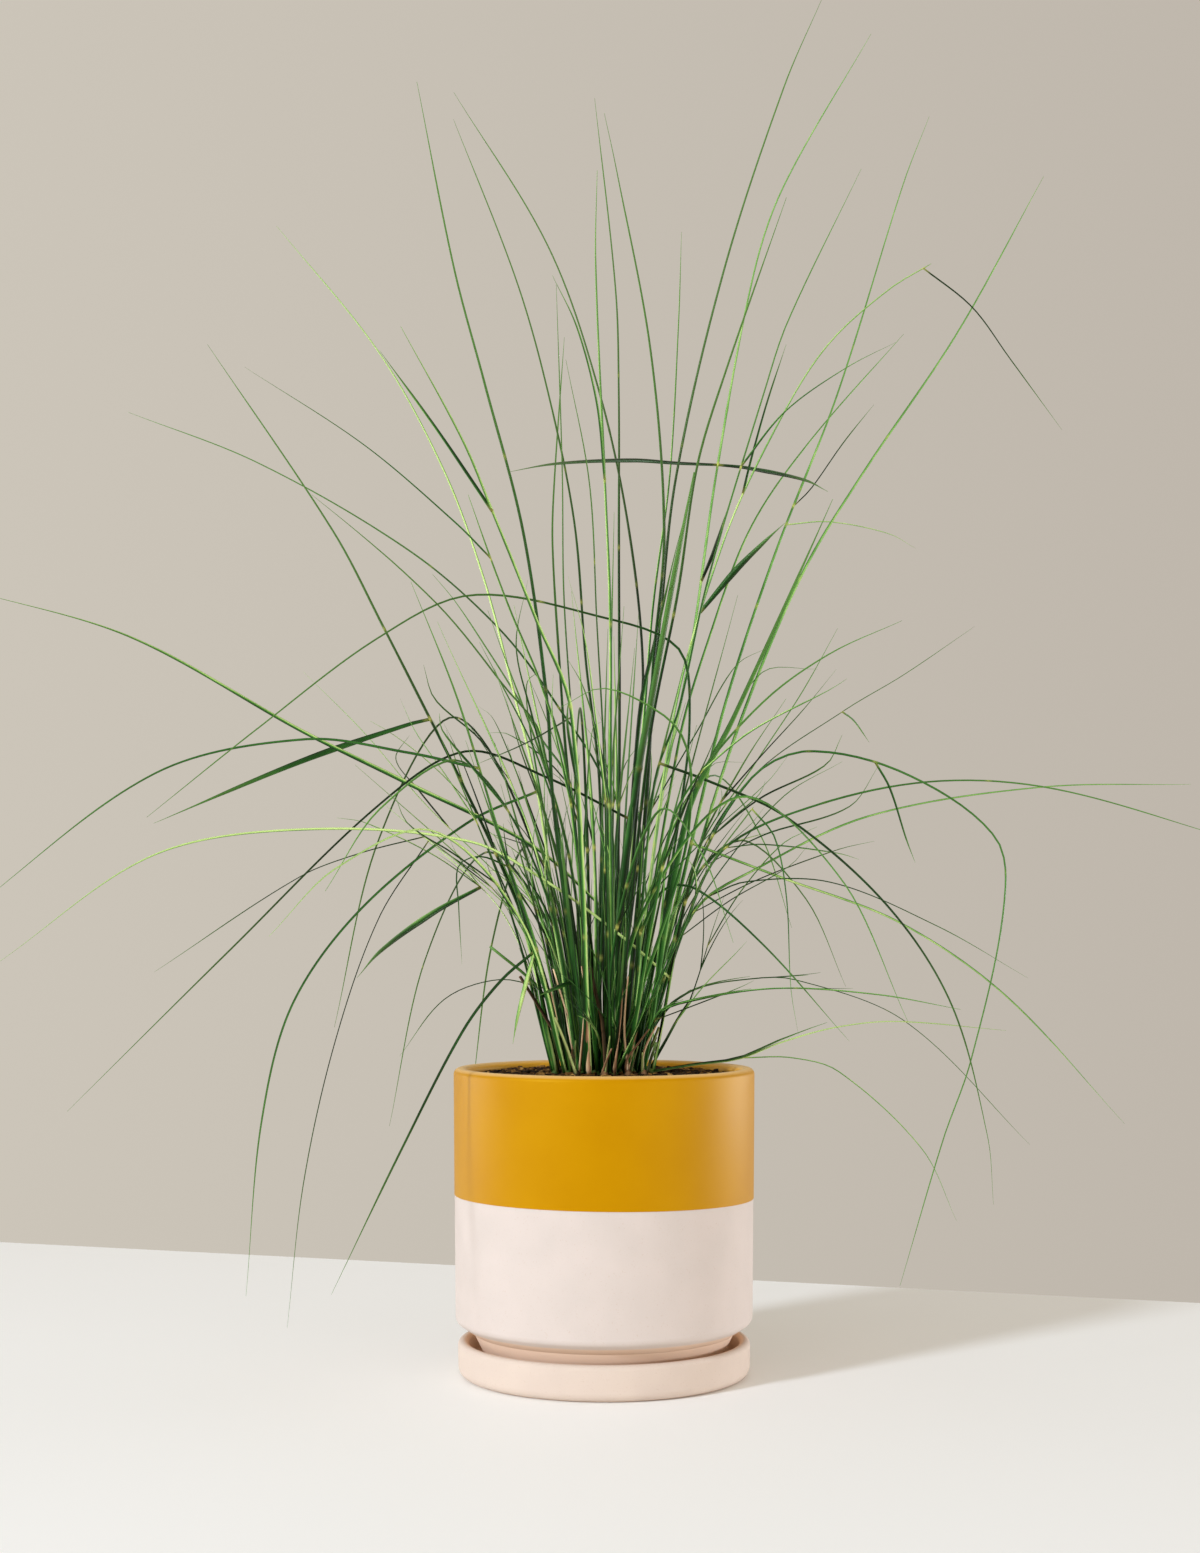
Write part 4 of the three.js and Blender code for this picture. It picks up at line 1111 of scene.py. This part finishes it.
# %% [markdown]
# ## What is too fine for the measured solids
#
# The foot of each culm is wrapped in older leaf sheaths. Some are green and run up along it before
# they come away, some are dry, brown and papery. Higher up, short hair-fine leaves leave the culms at
# a sharp angle and cross their neighbours, which gives the heart of the clump its tangled look.

# %% Old sheaths at the foot of a culm
SHEATH_RINGS = 11


def add_sheath(sheaf, one, height, peel, tone, dead):
    """A gutter of old leaf that hugs the foot of a culm and comes away at its top."""
    points = fine_points(one)
    rise = np.linspace(0, 1, SHEATH_RINGS)
    shares = rise * height / line_length(points)
    path = smooth_line(points, shares)
    widths = half_widths(one["form"], shares)
    sides, ups = frames_along(path)
    angle = dice.uniform(0, 2 * math.pi)
    out = sides * math.cos(angle) + ups * math.sin(angle)
    off = widths * 0.7 + peel * rise ** 3
    narrowing = 1.3 - 1.1 * rise ** 2
    sheaf.add(path + out * off[:, None], widths * narrowing, "rolled", tone, False, angle, 0.0, dead)


# %% Short fine leaves


def add_fine_leaf(sheaf, culm, level):
    """A short thin leaf that leaves a culm at a sharp angle, at about a height above the table."""
    path = smooth_line(fine_points(culm), np.linspace(0, 0.6, 60))
    path = path[:max(4, int(np.argmax(path[:, 2])))]
    place = int(np.argmin(np.abs(path[:, 2] - level)))
    rise = path[min(place + 1, len(path) - 1)] - path[max(place - 1, 0)]
    rise = rise / np.linalg.norm(rise)
    heading = dice.uniform(0, 2 * math.pi)
    out = np.array([math.cos(heading), math.sin(heading), 0])
    length = dice.uniform(30, 105)
    lean = dice.uniform(0.05, 0.3)
    bow = dice.uniform(-0.05, 0.16)
    t = np.linspace(0, 1, 10)[:, None]
    line = path[place] + length * (rise * (t - 0.25 * t * t) + out * (lean * t + bow * t * t))
    widths = dice.uniform(0.4, 0.85) * (1 - 0.85 * t[:, 0] ** 1.5)
    sheaf.add(line, widths, "rolled", dice.uniform(0.1, 0.85), False, dice.uniform(-1, 1))


# %% The woody crown under each bunch
CROWN_WIDTHS = np.array([3.1, 3.7, 3.9, 4.0, 3.7, 2.2])
CROWN_HEIGHTS = np.array([SOIL_LEVEL - CROWN_DEPTH, 186, 194, 198, 201, CROWN_TOP])


def add_crown(sheaf, crown, dead):
    # The path leans by a hair, because a section needs a direction to lie across
    rings = len(CROWN_HEIGHTS)
    hair = 0.001 * np.arange(rings)
    path = np.stack([crown["x"] + hair, np.full(rings, crown["y"]), CROWN_HEIGHTS], axis=1)
    sheaf.add(path, CROWN_WIDTHS, "round", 0.1, dead=dead)


# %% How green the lines are that stand out in the picture, by their lowest reading
GREEN_STUB = (-34, 236)
SEEN_TONES = {
    (10, 300): 0.3, (19, 368): 0.35, (55, 370): 0.55, (62, 505): 0.5,
    (66, 528): 0.0, (75, 603): 0.3, (33, 390): 0.75, (-115, 434): 0.45,
    (-4, 308): 0.75, (-97, 312): 0.6, (60, 330): 0.4, (46, 402): 0.6,
    (218, 739): 0.4, (45, 430): 0.7, (45, 263): 0.9, (50, 370): 0.5,
    (56, 354): 0.6, (12, 368): 0.3, (-83, 402): 0.3, (24, 296): 0.7,
    (60, 360): 0.6, (58, 330): 0.6, (-51, 295): 0.4, (3, 382): 0.65,
    (-2, 217): 0.9, (17, 206): 1.2, (-42, 282): 0.95, (-14, 259): 0.5,
    (60, 205): 1.1, (-34, 236): 0.1, (-30, 221): 0.25, (13.5, 225): 0.95,
}
print(len(SEEN_TONES), "lines have a green of their own")


def tone_of(one, low, high):
    """How green a line is, from 0 for dark to 1 for pale."""
    return SEEN_TONES.get(one.get("reading"), dice.uniform(low, high))


# %% Living culms with their leaves and sheaths
DRY_SHEATH_CHANCE = 0.14
DAMP_STUB = 0.35

leaves_of = {}
for one in standing:
    if one.get("parent") is not None:
        leaves_of.setdefault(id(one["parent"]), []).append(one)


def add_living(sheaf, one):
    if one["kind"] == "leaf":
        add_leaf(sheaf, one, tone_of(one, 0.15, 0.8))
        return
    length = line_length(fine_points(one))
    joints = [(leaf["share"], dice.uniform(0.3, 0.9)) for leaf in leaves_of.get(id(one), [])]
    place = dice.uniform(60, 150)
    while place < 0.75 * length:
        joints.append((place / length, dice.uniform(0, 0.4)))
        place += dice.uniform(90, 160)
    add_culm(sheaf, one, tone_of(one, 0.08, 0.78), joints)
    for _ in range(dice.integers(1, 3)):
        height = min(dice.uniform(50, 170), 0.5 * length)
        add_sheath(sheaf, one, height, dice.uniform(0.5, 5), dice.uniform(0.1, 0.9), 0.0)
    if dice.uniform(0, 1) < DRY_SHEATH_CHANCE:
        height = min(dice.uniform(15, 60), 0.4 * length)
        add_sheath(sheaf, one, height, dice.uniform(0, 3), dice.uniform(0, 0.85), 1.0)


# %% A dead stub


def add_dead(sheaf, one):
    if one["kind"] == "leaf":
        add_leaf(sheaf, one, tone_of(one, 0.2, 0.6))
        return
    shares = np.linspace(0, 1, 9)
    form = one["form"]
    tone = tone_of(one, 0.45, 1) if form == "straw" else tone_of(one, 0.1, 0.6)
    # A stub that the picture doesn't show is still damp, and a third of its green has gone
    dead = 0.0 if one.get("reading") == GREEN_STUB else 1.0 if "reading" in one else DAMP_STUB
    path = smooth_line(fine_points(one), shares)
    sheaf.add(path, half_widths(form, shares), FORMS[form][3], tone, dead=dead)


# %% One object for each crown
bunches = 0
dead_bases = 0
for crown in crowns:
    sheaf = Sheaf()
    add_crown(sheaf, crown, 1.0 if crown["dry"] else 0.3)
    for one in standing:
        if one["crown"] is crown and one["kind"] != "crown":
            if crown["dry"]:
                add_dead(sheaf, one)
            else:
                add_living(sheaf, one)
    if crown["dry"]:
        dead_bases += 1
        bunch = sheaf.make("dead_sheaths_%d" % dead_bases)
        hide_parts("dry_sheaths_%d" % dead_bases)
    else:
        bunches += 1
        bunch = sheaf.make("bunch_%d" % bunches)
        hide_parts("grass_bunch_%d" % bunches)
    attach(bunch, "root")
print(bunches, "living bunches and", dead_bases, "dead ones")

# %% Scatter the fine leaves
FINE_LEAVES = 130
FINE_LEAF_LEVELS = (208, 400)
living_culms = [one for one in standing if one["kind"] == "culm" and not one["crown"]["dry"]]
sheaf = Sheaf()
for _ in range(FINE_LEAVES):
    add_fine_leaf(sheaf, living_culms[dice.integers(len(living_culms))], dice.uniform(*FINE_LEAF_LEVELS))
fine_leaves = sheaf.make("fine_leaves")
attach(fine_leaves, "root")
print(FINE_LEAVES, "fine leaves")

# %% [markdown]
# ## Ochre glaze and bare clay
#
# The pot is stoneware, formed on a turning mould. Its body is a pale buff clay, left bare on the lower
# half and on the saucer: matt, with a fine tooth. The upper half was dipped in a satin ochre glaze, which
# melted into a smooth coat a quarter of a millimetre thick. The glaze gives a broad soft sheen and
# goes lighter where it runs thin along its lower edge. A highlight is painted along its lip, and light
# is painted onto the inner wall, which is made lighter than the outside.

# %% Satin glaze


def distance_from_axis(add, place):
    flat = add("VectorMath", {"operation": "MULTIPLY", 1: (1, 1, 0)}, {0: place})
    return add("VectorMath", {"operation": "LENGTH"}, {0: flat})


def satin_glaze():
    material, shader, add = new_material("satin_ochre_glaze")
    place = add("TexCoord").outputs["Object"]
    # The bath of glaze pools a little, in clouds as wide as a thumb is long
    clouds = add("TexNoise", {"Scale": per_mm(45), "Detail": 4.0}, {"Vector": place})
    ochre = add("ValToRGB", {"ramp": [(0.3, "#b37a00"), (0.7, "#b88000")]}, {"Fac": clouds})
    # Light is painted onto the inner wall: inside the pot the glaze is made lighter than outside
    radius = distance_from_axis(add, place)
    inside = add("MapRange", {"From Min": 0.093, "From Max": 0.091, "To Max": 0.9}, {"Value": radius})
    lit_inside = add("Mix", {"data_type": "RGBA", 7: "#f2ae34"}, {0: inside, 6: ochre})
    # A highlight is painted along the lip, the top two millimetres of the pot
    height = add("SeparateXYZ", None, {"Vector": place}).outputs["Z"]
    lip_highlight = add("MapRange", {"From Min": 0.2015, "From Max": 0.2037, "To Max": 0.8}, {"Value": height})
    highlighted_lip = add("Mix", {"data_type": "RGBA", 7: "#f0c684"}, {0: lip_highlight, 6: lit_inside})
    # The fine orange peel of a melted surface
    grain = add("TexNoise", {"Scale": per_mm(0.9), "Detail": 2.0}, {"Vector": place})
    bump = add("Bump", {"Strength": 0.08, "Distance": 0.0002}, {"Height": grain})
    sheen = add("MapRange", {"To Min": 0.42, "To Max": 0.5}, {"Value": clouds})
    # Light that enters the glaze and comes back near the surface makes its sheen golden
    add(shader, {"IOR": 1.47, "Specular Tint": (1.0, 0.72, 0.05, 1.0)},
        {"Base Color": highlighted_lip, "Normal": bump, "Roughness": sheen})
    return material


# %% Bare clay


def bare_clay(name, darker, lighter):
    material, shader, add = new_material(name)
    place = add("TexCoord").outputs["Object"]
    clouds = add("TexNoise", {"Scale": per_mm(25), "Detail": 5.0}, {"Vector": place})
    buff = add("ValToRGB", {"ramp": [(0.3, darker), (0.7, lighter)]}, {"Fac": clouds})
    # Grog, the crushed fired clay in the body, shows as darker specks of about a millimetre
    specks = add("TexNoise", {"Scale": per_mm(1.1), "Detail": 1.0}, {"Vector": place})
    grog = add("MapRange", {"From Min": 0.66, "From Max": 0.74, "To Max": 0.35}, {"Value": specks})
    speckled = add("Mix", {"data_type": "RGBA", 7: "#bfa48e"}, {0: grog, 6: buff})
    # Light is painted into the recess between foot and saucer, from 94 mm off the axis inwards: the clay
    # there is made lighter and warmer, as light bounced among the clay makes it
    radius = distance_from_axis(add, place)
    recess_light = add("MapRange", {"From Min": 0.094, "From Max": 0.092, "To Max": 0.8}, {"Value": radius})
    recess_lit = add("Mix", {"data_type": "RGBA", 7: "#e3c2a4"}, {0: recess_light, 6: speckled})
    # The fine tooth of unglazed clay
    tooth = add("TexNoise", {"Scale": per_mm(0.6), "Detail": 3.0}, {"Vector": place})
    bump = add("Bump", {"Strength": 0.25, "Distance": 0.0002}, {"Height": tooth})
    add(shader, {"Roughness": 0.85, "IOR": 1.5}, {"Base Color": recess_lit, "Normal": bump})
    return material


# %% Mix the glaze and the clays
glaze = satin_glaze()
clay = bare_clay("bare_buff_stoneware", "#c9bbb0", "#cebfb4")
# The saucer was fired apart from the pot and came out a shade warmer
saucer_clay = bare_clay("bare_saucer_stoneware", "#ccb9a9", "#d1bead")

# %% [markdown]
# ## The pot and its saucer
#
# Both are round about one axis, as what is formed on a wheel is, so each is one profile turned round
# it. Every corner of the profile gets the rounding that a wet sponge leaves: wide at the lip, tight at
# the foot. A plain cylinder with a bevel would give all its edges the same rounding, and could not
# hold the step of the foot, the floor and the drain hole.
#
# The glaze is a thin second skin over the upper half. Its lower edge is not quite level, because the
# pot was tilted a little when it was dipped.

# %% The clay pot
FOOT_LEVEL = 8.3
FLOOR_UNDERSIDE = 11.3
FLOOR_LEVEL = 23.8
COAT = 0.25
POT_PROFILE = [
    (8, FLOOR_UNDERSIDE, 0.6),
    (59, FLOOR_UNDERSIDE, 0.8),
    (61, FOOT_LEVEL, 0.8),
    (76.8, FOOT_LEVEL, 1.2),
    (80.5, 16, 12),
    (86.6, 28.5, 0.8),
    (98.9 - COAT, 36.6, 5.5),
    (POT_RADIUS - COAT, POT_TOP - COAT, 4),
    (POT_BORE + COAT, POT_TOP - COAT, 4),
    (POT_BORE, 52.8, 20),
    (80, 30, 20),
    (62, FLOOR_LEVEL, 10),
    (8, FLOOR_LEVEL, 0.6),
]
corners, faces = turned(rounded(POT_PROFILE))
pot = make_object("clay_pot", corners, faces, clay)
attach(pot, "root")
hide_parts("pot")

# %% The coat of glaze
GLAZE_EDGE = 118.4
EDGE_TILT = (-0.0125, -0.011)


def glazed_radius(height):
    """The pot's outer wall opens by a millimetre from its shoulder to its lip."""
    return 99 + (height - 40) / 159.5


COAT_PROFILE = [
    (glazed_radius(GLAZE_EDGE) - 1.2, GLAZE_EDGE + 0.3, 0),
    (glazed_radius(GLAZE_EDGE), GLAZE_EDGE, 0.25),
    (POT_RADIUS, POT_TOP, 4),
    (POT_BORE, POT_TOP, 4),
    (POT_BORE, 180, 0),
    (POT_BORE + 1.5, 180, 0),
    (POT_BORE + 1.5, POT_TOP - 2.5, 3),
    (POT_RADIUS - 1.5, POT_TOP - 2.5, 3),
]
corners, faces = turned(rounded(COAT_PROFILE), 200)
edge = corners[:, 2] < GLAZE_EDGE + 2
slant = EDGE_TILT[0] * corners[:, 0] + EDGE_TILT[1] * corners[:, 1]
corners[edge, 2] += slant[edge]
coat = make_object("glaze_coat", corners, faces, glaze)
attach(coat, "root")

# %% The saucer
SAUCER_PROFILE = [
    (0.02, 0, 0),
    (96.6, 0, 6.5),
    (97, 14, 0),
    (97, SAUCER_HEIGHT, 3.4),
    (90, SAUCER_HEIGHT, 3.4),
    (89.4, 8, 5),
    (0.02, 8, 0),
]
corners, faces = turned(rounded(SAUCER_PROFILE))
saucer = make_object("clay_saucer", corners, faces, saucer_clay)
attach(saucer, "root")
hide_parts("saucer")

# %% [markdown]
# ## Potting mix
#
# The mix is fine bark, peat and a little grit: dark, matt and crumbly. A bumpy disc alone would look
# like felt, so crumbs lie on it as small solids of their own, each squashed and turned at random.

# %% Damp potting mix


def potting_mix():
    material, shader, add = new_material("damp_potting_mix")
    place = add("TexCoord").outputs["Object"]
    tone = add("Attribute", {"attribute_name": "tone"}).outputs["Fac"]
    grain = add("TexNoise", {"Scale": per_mm(2.5), "Detail": 5.0}, {"Vector": place})
    mixed = add("Math", {"operation": "MULTIPLY_ADD", 1: 0.5}, {0: grain, 2: tone})
    earth = add("ValToRGB", {"ramp": [
        (0.25, "#160c03"), (0.5, "#3f2811"), (0.8, "#835d2b"), (1.0, "#cc9f58"),
    ]}, {"Fac": mixed})
    bump = add("Bump", {"Strength": 0.6, "Distance": 0.0008}, {"Height": grain})
    add(shader, {"Roughness": 0.95, "Specular IOR Level": 0.15}, {"Base Color": earth, "Normal": bump})
    return material


soil_skin = potting_mix()

# %% The soil's body
SOIL_EDGE = POT_BORE - GAP
# Rings 1.5 mm apart carry the small clods
rings = 60
spokes = 180
angles = np.arange(spokes) * 2 * math.pi / spokes
corners = [np.array([[0, 0, soil_height(0.0, 0.0)]])]
faces = []
for i in range(1, rings + 1):
    radius = SOIL_EDGE * i / rings
    x = radius * np.cos(angles)
    y = radius * np.sin(angles)
    z = soil_height(x, y) + dice.uniform(-0.7, 0.5, spokes) - 0.3
    corners.append(np.stack([x, y, z], axis=1))
for j in range(spokes):
    faces.append((0, 1 + j, 1 + (j + 1) % spokes))
profile_down = [(SOIL_EDGE, 53.1), (79.7, 30.3), (61.7, FLOOR_LEVEL + GAP)]
for radius, height in profile_down:
    x = radius * np.cos(angles)
    y = radius * np.sin(angles)
    corners.append(np.stack([x, y, np.full(spokes, height)], axis=1))
levels = rings + len(profile_down)
for i in range(levels - 1):
    for j in range(spokes):
        k = (j + 1) % spokes
        low = 1 + i * spokes
        faces.append((low + j, low + spokes + j, low + spokes + k, low + k))
last = 1 + (levels - 1) * spokes
faces.append(tuple(last + j for j in reversed(range(spokes))))
soil_corners = np.concatenate(corners)
soil = make_object("potting_mix", soil_corners, faces, soil_skin)
add_tag(soil, "tone", dice.uniform(0, 0.5, len(soil_corners)))
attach(soil, "root")
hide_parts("soil")

# %% A crumb, which starts as a body of twenty triangles
GOLDEN = (1 + math.sqrt(5)) / 2
LUMP = np.array([
    (-1, GOLDEN, 0), (1, GOLDEN, 0), (-1, -GOLDEN, 0), (1, -GOLDEN, 0), (0, -1, GOLDEN), (0, 1, GOLDEN),
    (0, -1, -GOLDEN), (0, 1, -GOLDEN), (GOLDEN, 0, -1), (GOLDEN, 0, 1), (-GOLDEN, 0, -1), (-GOLDEN, 0, 1)])
LUMP_FACES = [
    (0, 11, 5), (0, 5, 1), (0, 1, 7), (0, 7, 10), (0, 10, 11), (1, 5, 9), (5, 11, 4), (11, 10, 2),
    (10, 7, 6), (7, 1, 8), (3, 9, 4), (3, 4, 2), (3, 2, 6), (3, 6, 8), (3, 8, 9), (4, 9, 5), (2, 4, 11),
    (6, 2, 10), (8, 6, 7), (9, 8, 1)]
print("a crumb has", len(LUMP), "corners")

# %% Crumbs on the soil
CRUMBS = 2400
crumb_corners = []
crumb_faces = []
crumb_tones = []
for i in range(CRUMBS):
    radius = (SOIL_EDGE - 3) * math.sqrt(dice.uniform(0, 1))
    angle = dice.uniform(0, 2 * math.pi)
    x, y = radius * math.cos(angle), radius * math.sin(angle)
    size = 0.68 * dice.uniform(0.6, 1.5) ** 2
    stretch = np.array([dice.uniform(0.7, 1.8), dice.uniform(0.6, 1.2), dice.uniform(0.4, 0.8)])
    lump = LUMP * size * stretch * dice.uniform(0.75, 1.25, (12, 1))
    turn = dice.uniform(0, 2 * math.pi)
    turned_x = lump[:, 0] * math.cos(turn) - lump[:, 1] * math.sin(turn)
    turned_y = lump[:, 0] * math.sin(turn) + lump[:, 1] * math.cos(turn)
    level = float(soil_height(x, y)) + 0.2 * size
    crumb_corners.append(np.stack([turned_x + x, turned_y + y, lump[:, 2] + level], axis=1))
    crumb_faces += [tuple(12 * i + corner for corner in face) for face in LUMP_FACES]
    crumb_tones.append(np.full(12, dice.uniform(0, 0.75) ** 1.5))
crumbs = make_object("soil_crumbs", np.concatenate(crumb_corners), crumb_faces, soil_skin, smooth=False)
add_tag(crumbs, "tone", np.concatenate(crumb_tones))
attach(crumbs, "root")
print(CRUMBS, "crumbs on the soil")

# %% [markdown]
# ## Table and light
#
# The pot stands on a pale table in front of an even, warm grey wall. A soft lamp far off on the front
# left casts a long shadow to the back right. Wide low cards on both sides draw the light edges on
# the glaze, one in front lightens the shaded half of the pot, and a weak lamp hangs overhead. The
# cards stand clear of the table, or each would make a bright pool on it that shows from behind.

# %% Table
# Brushed-on matt paint: even and warm white, with only a faint sheen
table_paint, shader, add = new_material("white_table_paint")
add(shader, {"Base Color": "#f6f5f1", "Roughness": 0.6})
# The table's back edge slants, and runs far past the picture on both sides
EDGE_LEFT = (-2200, 1152.6)
EDGE_RIGHT = (2200, -290.6)
top = [(-2200, -2200), (2200, -2200), EDGE_RIGHT, EDGE_LEFT]
corners = [(x, y, z) for z in (-30, -0.05) for x, y in top]
faces = [(3, 2, 1, 0), (4, 5, 6, 7), (0, 1, 5, 4), (1, 2, 6, 5), (2, 3, 7, 6), (3, 0, 4, 7)]
table = make_object("table", corners, faces, table_paint, smooth=False)
table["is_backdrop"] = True

# %% Room light
world = bpy.data.worlds.new("room")
world.use_nodes = True
bpy.context.scene.world = world
add = partial(add_node, world.node_tree)
# The wall is a shade lighter on the left, where the lamp stands
heading = add("SeparateXYZ", None, {"Vector": add("TexCoord").outputs["Generated"]}).outputs["X"]
rightwards = add("MapRange", {"From Min": -0.27, "From Max": 0.27}, {"Value": heading})
wall = add("Mix", {"data_type": "RGBA", 6: "#ccc5b9", 7: "#bfb7ac"}, {0: rightwards})
add(world.node_tree.nodes["Background"], None, {"Color": wall})

# %% Soft lamps


def soft_lamp(name, place, towards, size, watts, colour, height=None):
    """A soft lamp, placed in metres: round, or an upright card where it has a height.

    It lights the scene without showing in it, as a lamp outside the frame does.
    """
    light = bpy.data.lights.new(name, "AREA")
    light.shape = "RECTANGLE" if height else "DISK"
    light.size = size
    if height:
        light.size_y = height
    light.energy = watts
    light.color = linear(colour)[:3]
    lamp = bpy.data.objects.new(name, light)
    lamp.location = place
    lamp.visible_camera = False
    x, y, z = np.array(towards) - np.array(place)
    lamp.rotation_euler = (math.atan2(math.hypot(x, y), -z), 0, math.atan2(y, x) - math.pi / 2)
    bpy.context.scene.collection.objects.link(lamp)
    print(name, "of", watts, "W,", round(math.hypot(x, y, z), 1), "m away")


# %% Place the lamps
soft_lamp("key_lamp", (-4.38, -4.01, 2.7), (0, 0, 0.25), 0.9, 352, "#e4efff")
soft_lamp("right_card", (4.7, 1.5, 0.32), (0, 0, 0.15), 4.4, 128, "#f1f5ff", 0.6)
soft_lamp("left_card", (-4.7, 1.5, 0.32), (0, 0, 0.15), 3.2, 50, "#f1f5ff", 0.6)
soft_lamp("front_card", (3.5, -3.7, 0.32), (0, 0, 0.15), 4.4, 80, "#f1f5ff", 0.6)
soft_lamp("top_lamp", (-0.3, -0.9, 2.1), (0, 0, 0.2), 1.2, 4, "#f1f5ff")

# %% The box of the finished model
finished_box = [[round(float(v), 3) for v in corner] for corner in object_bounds()]
print("box of the finished model in metres:", finished_box)
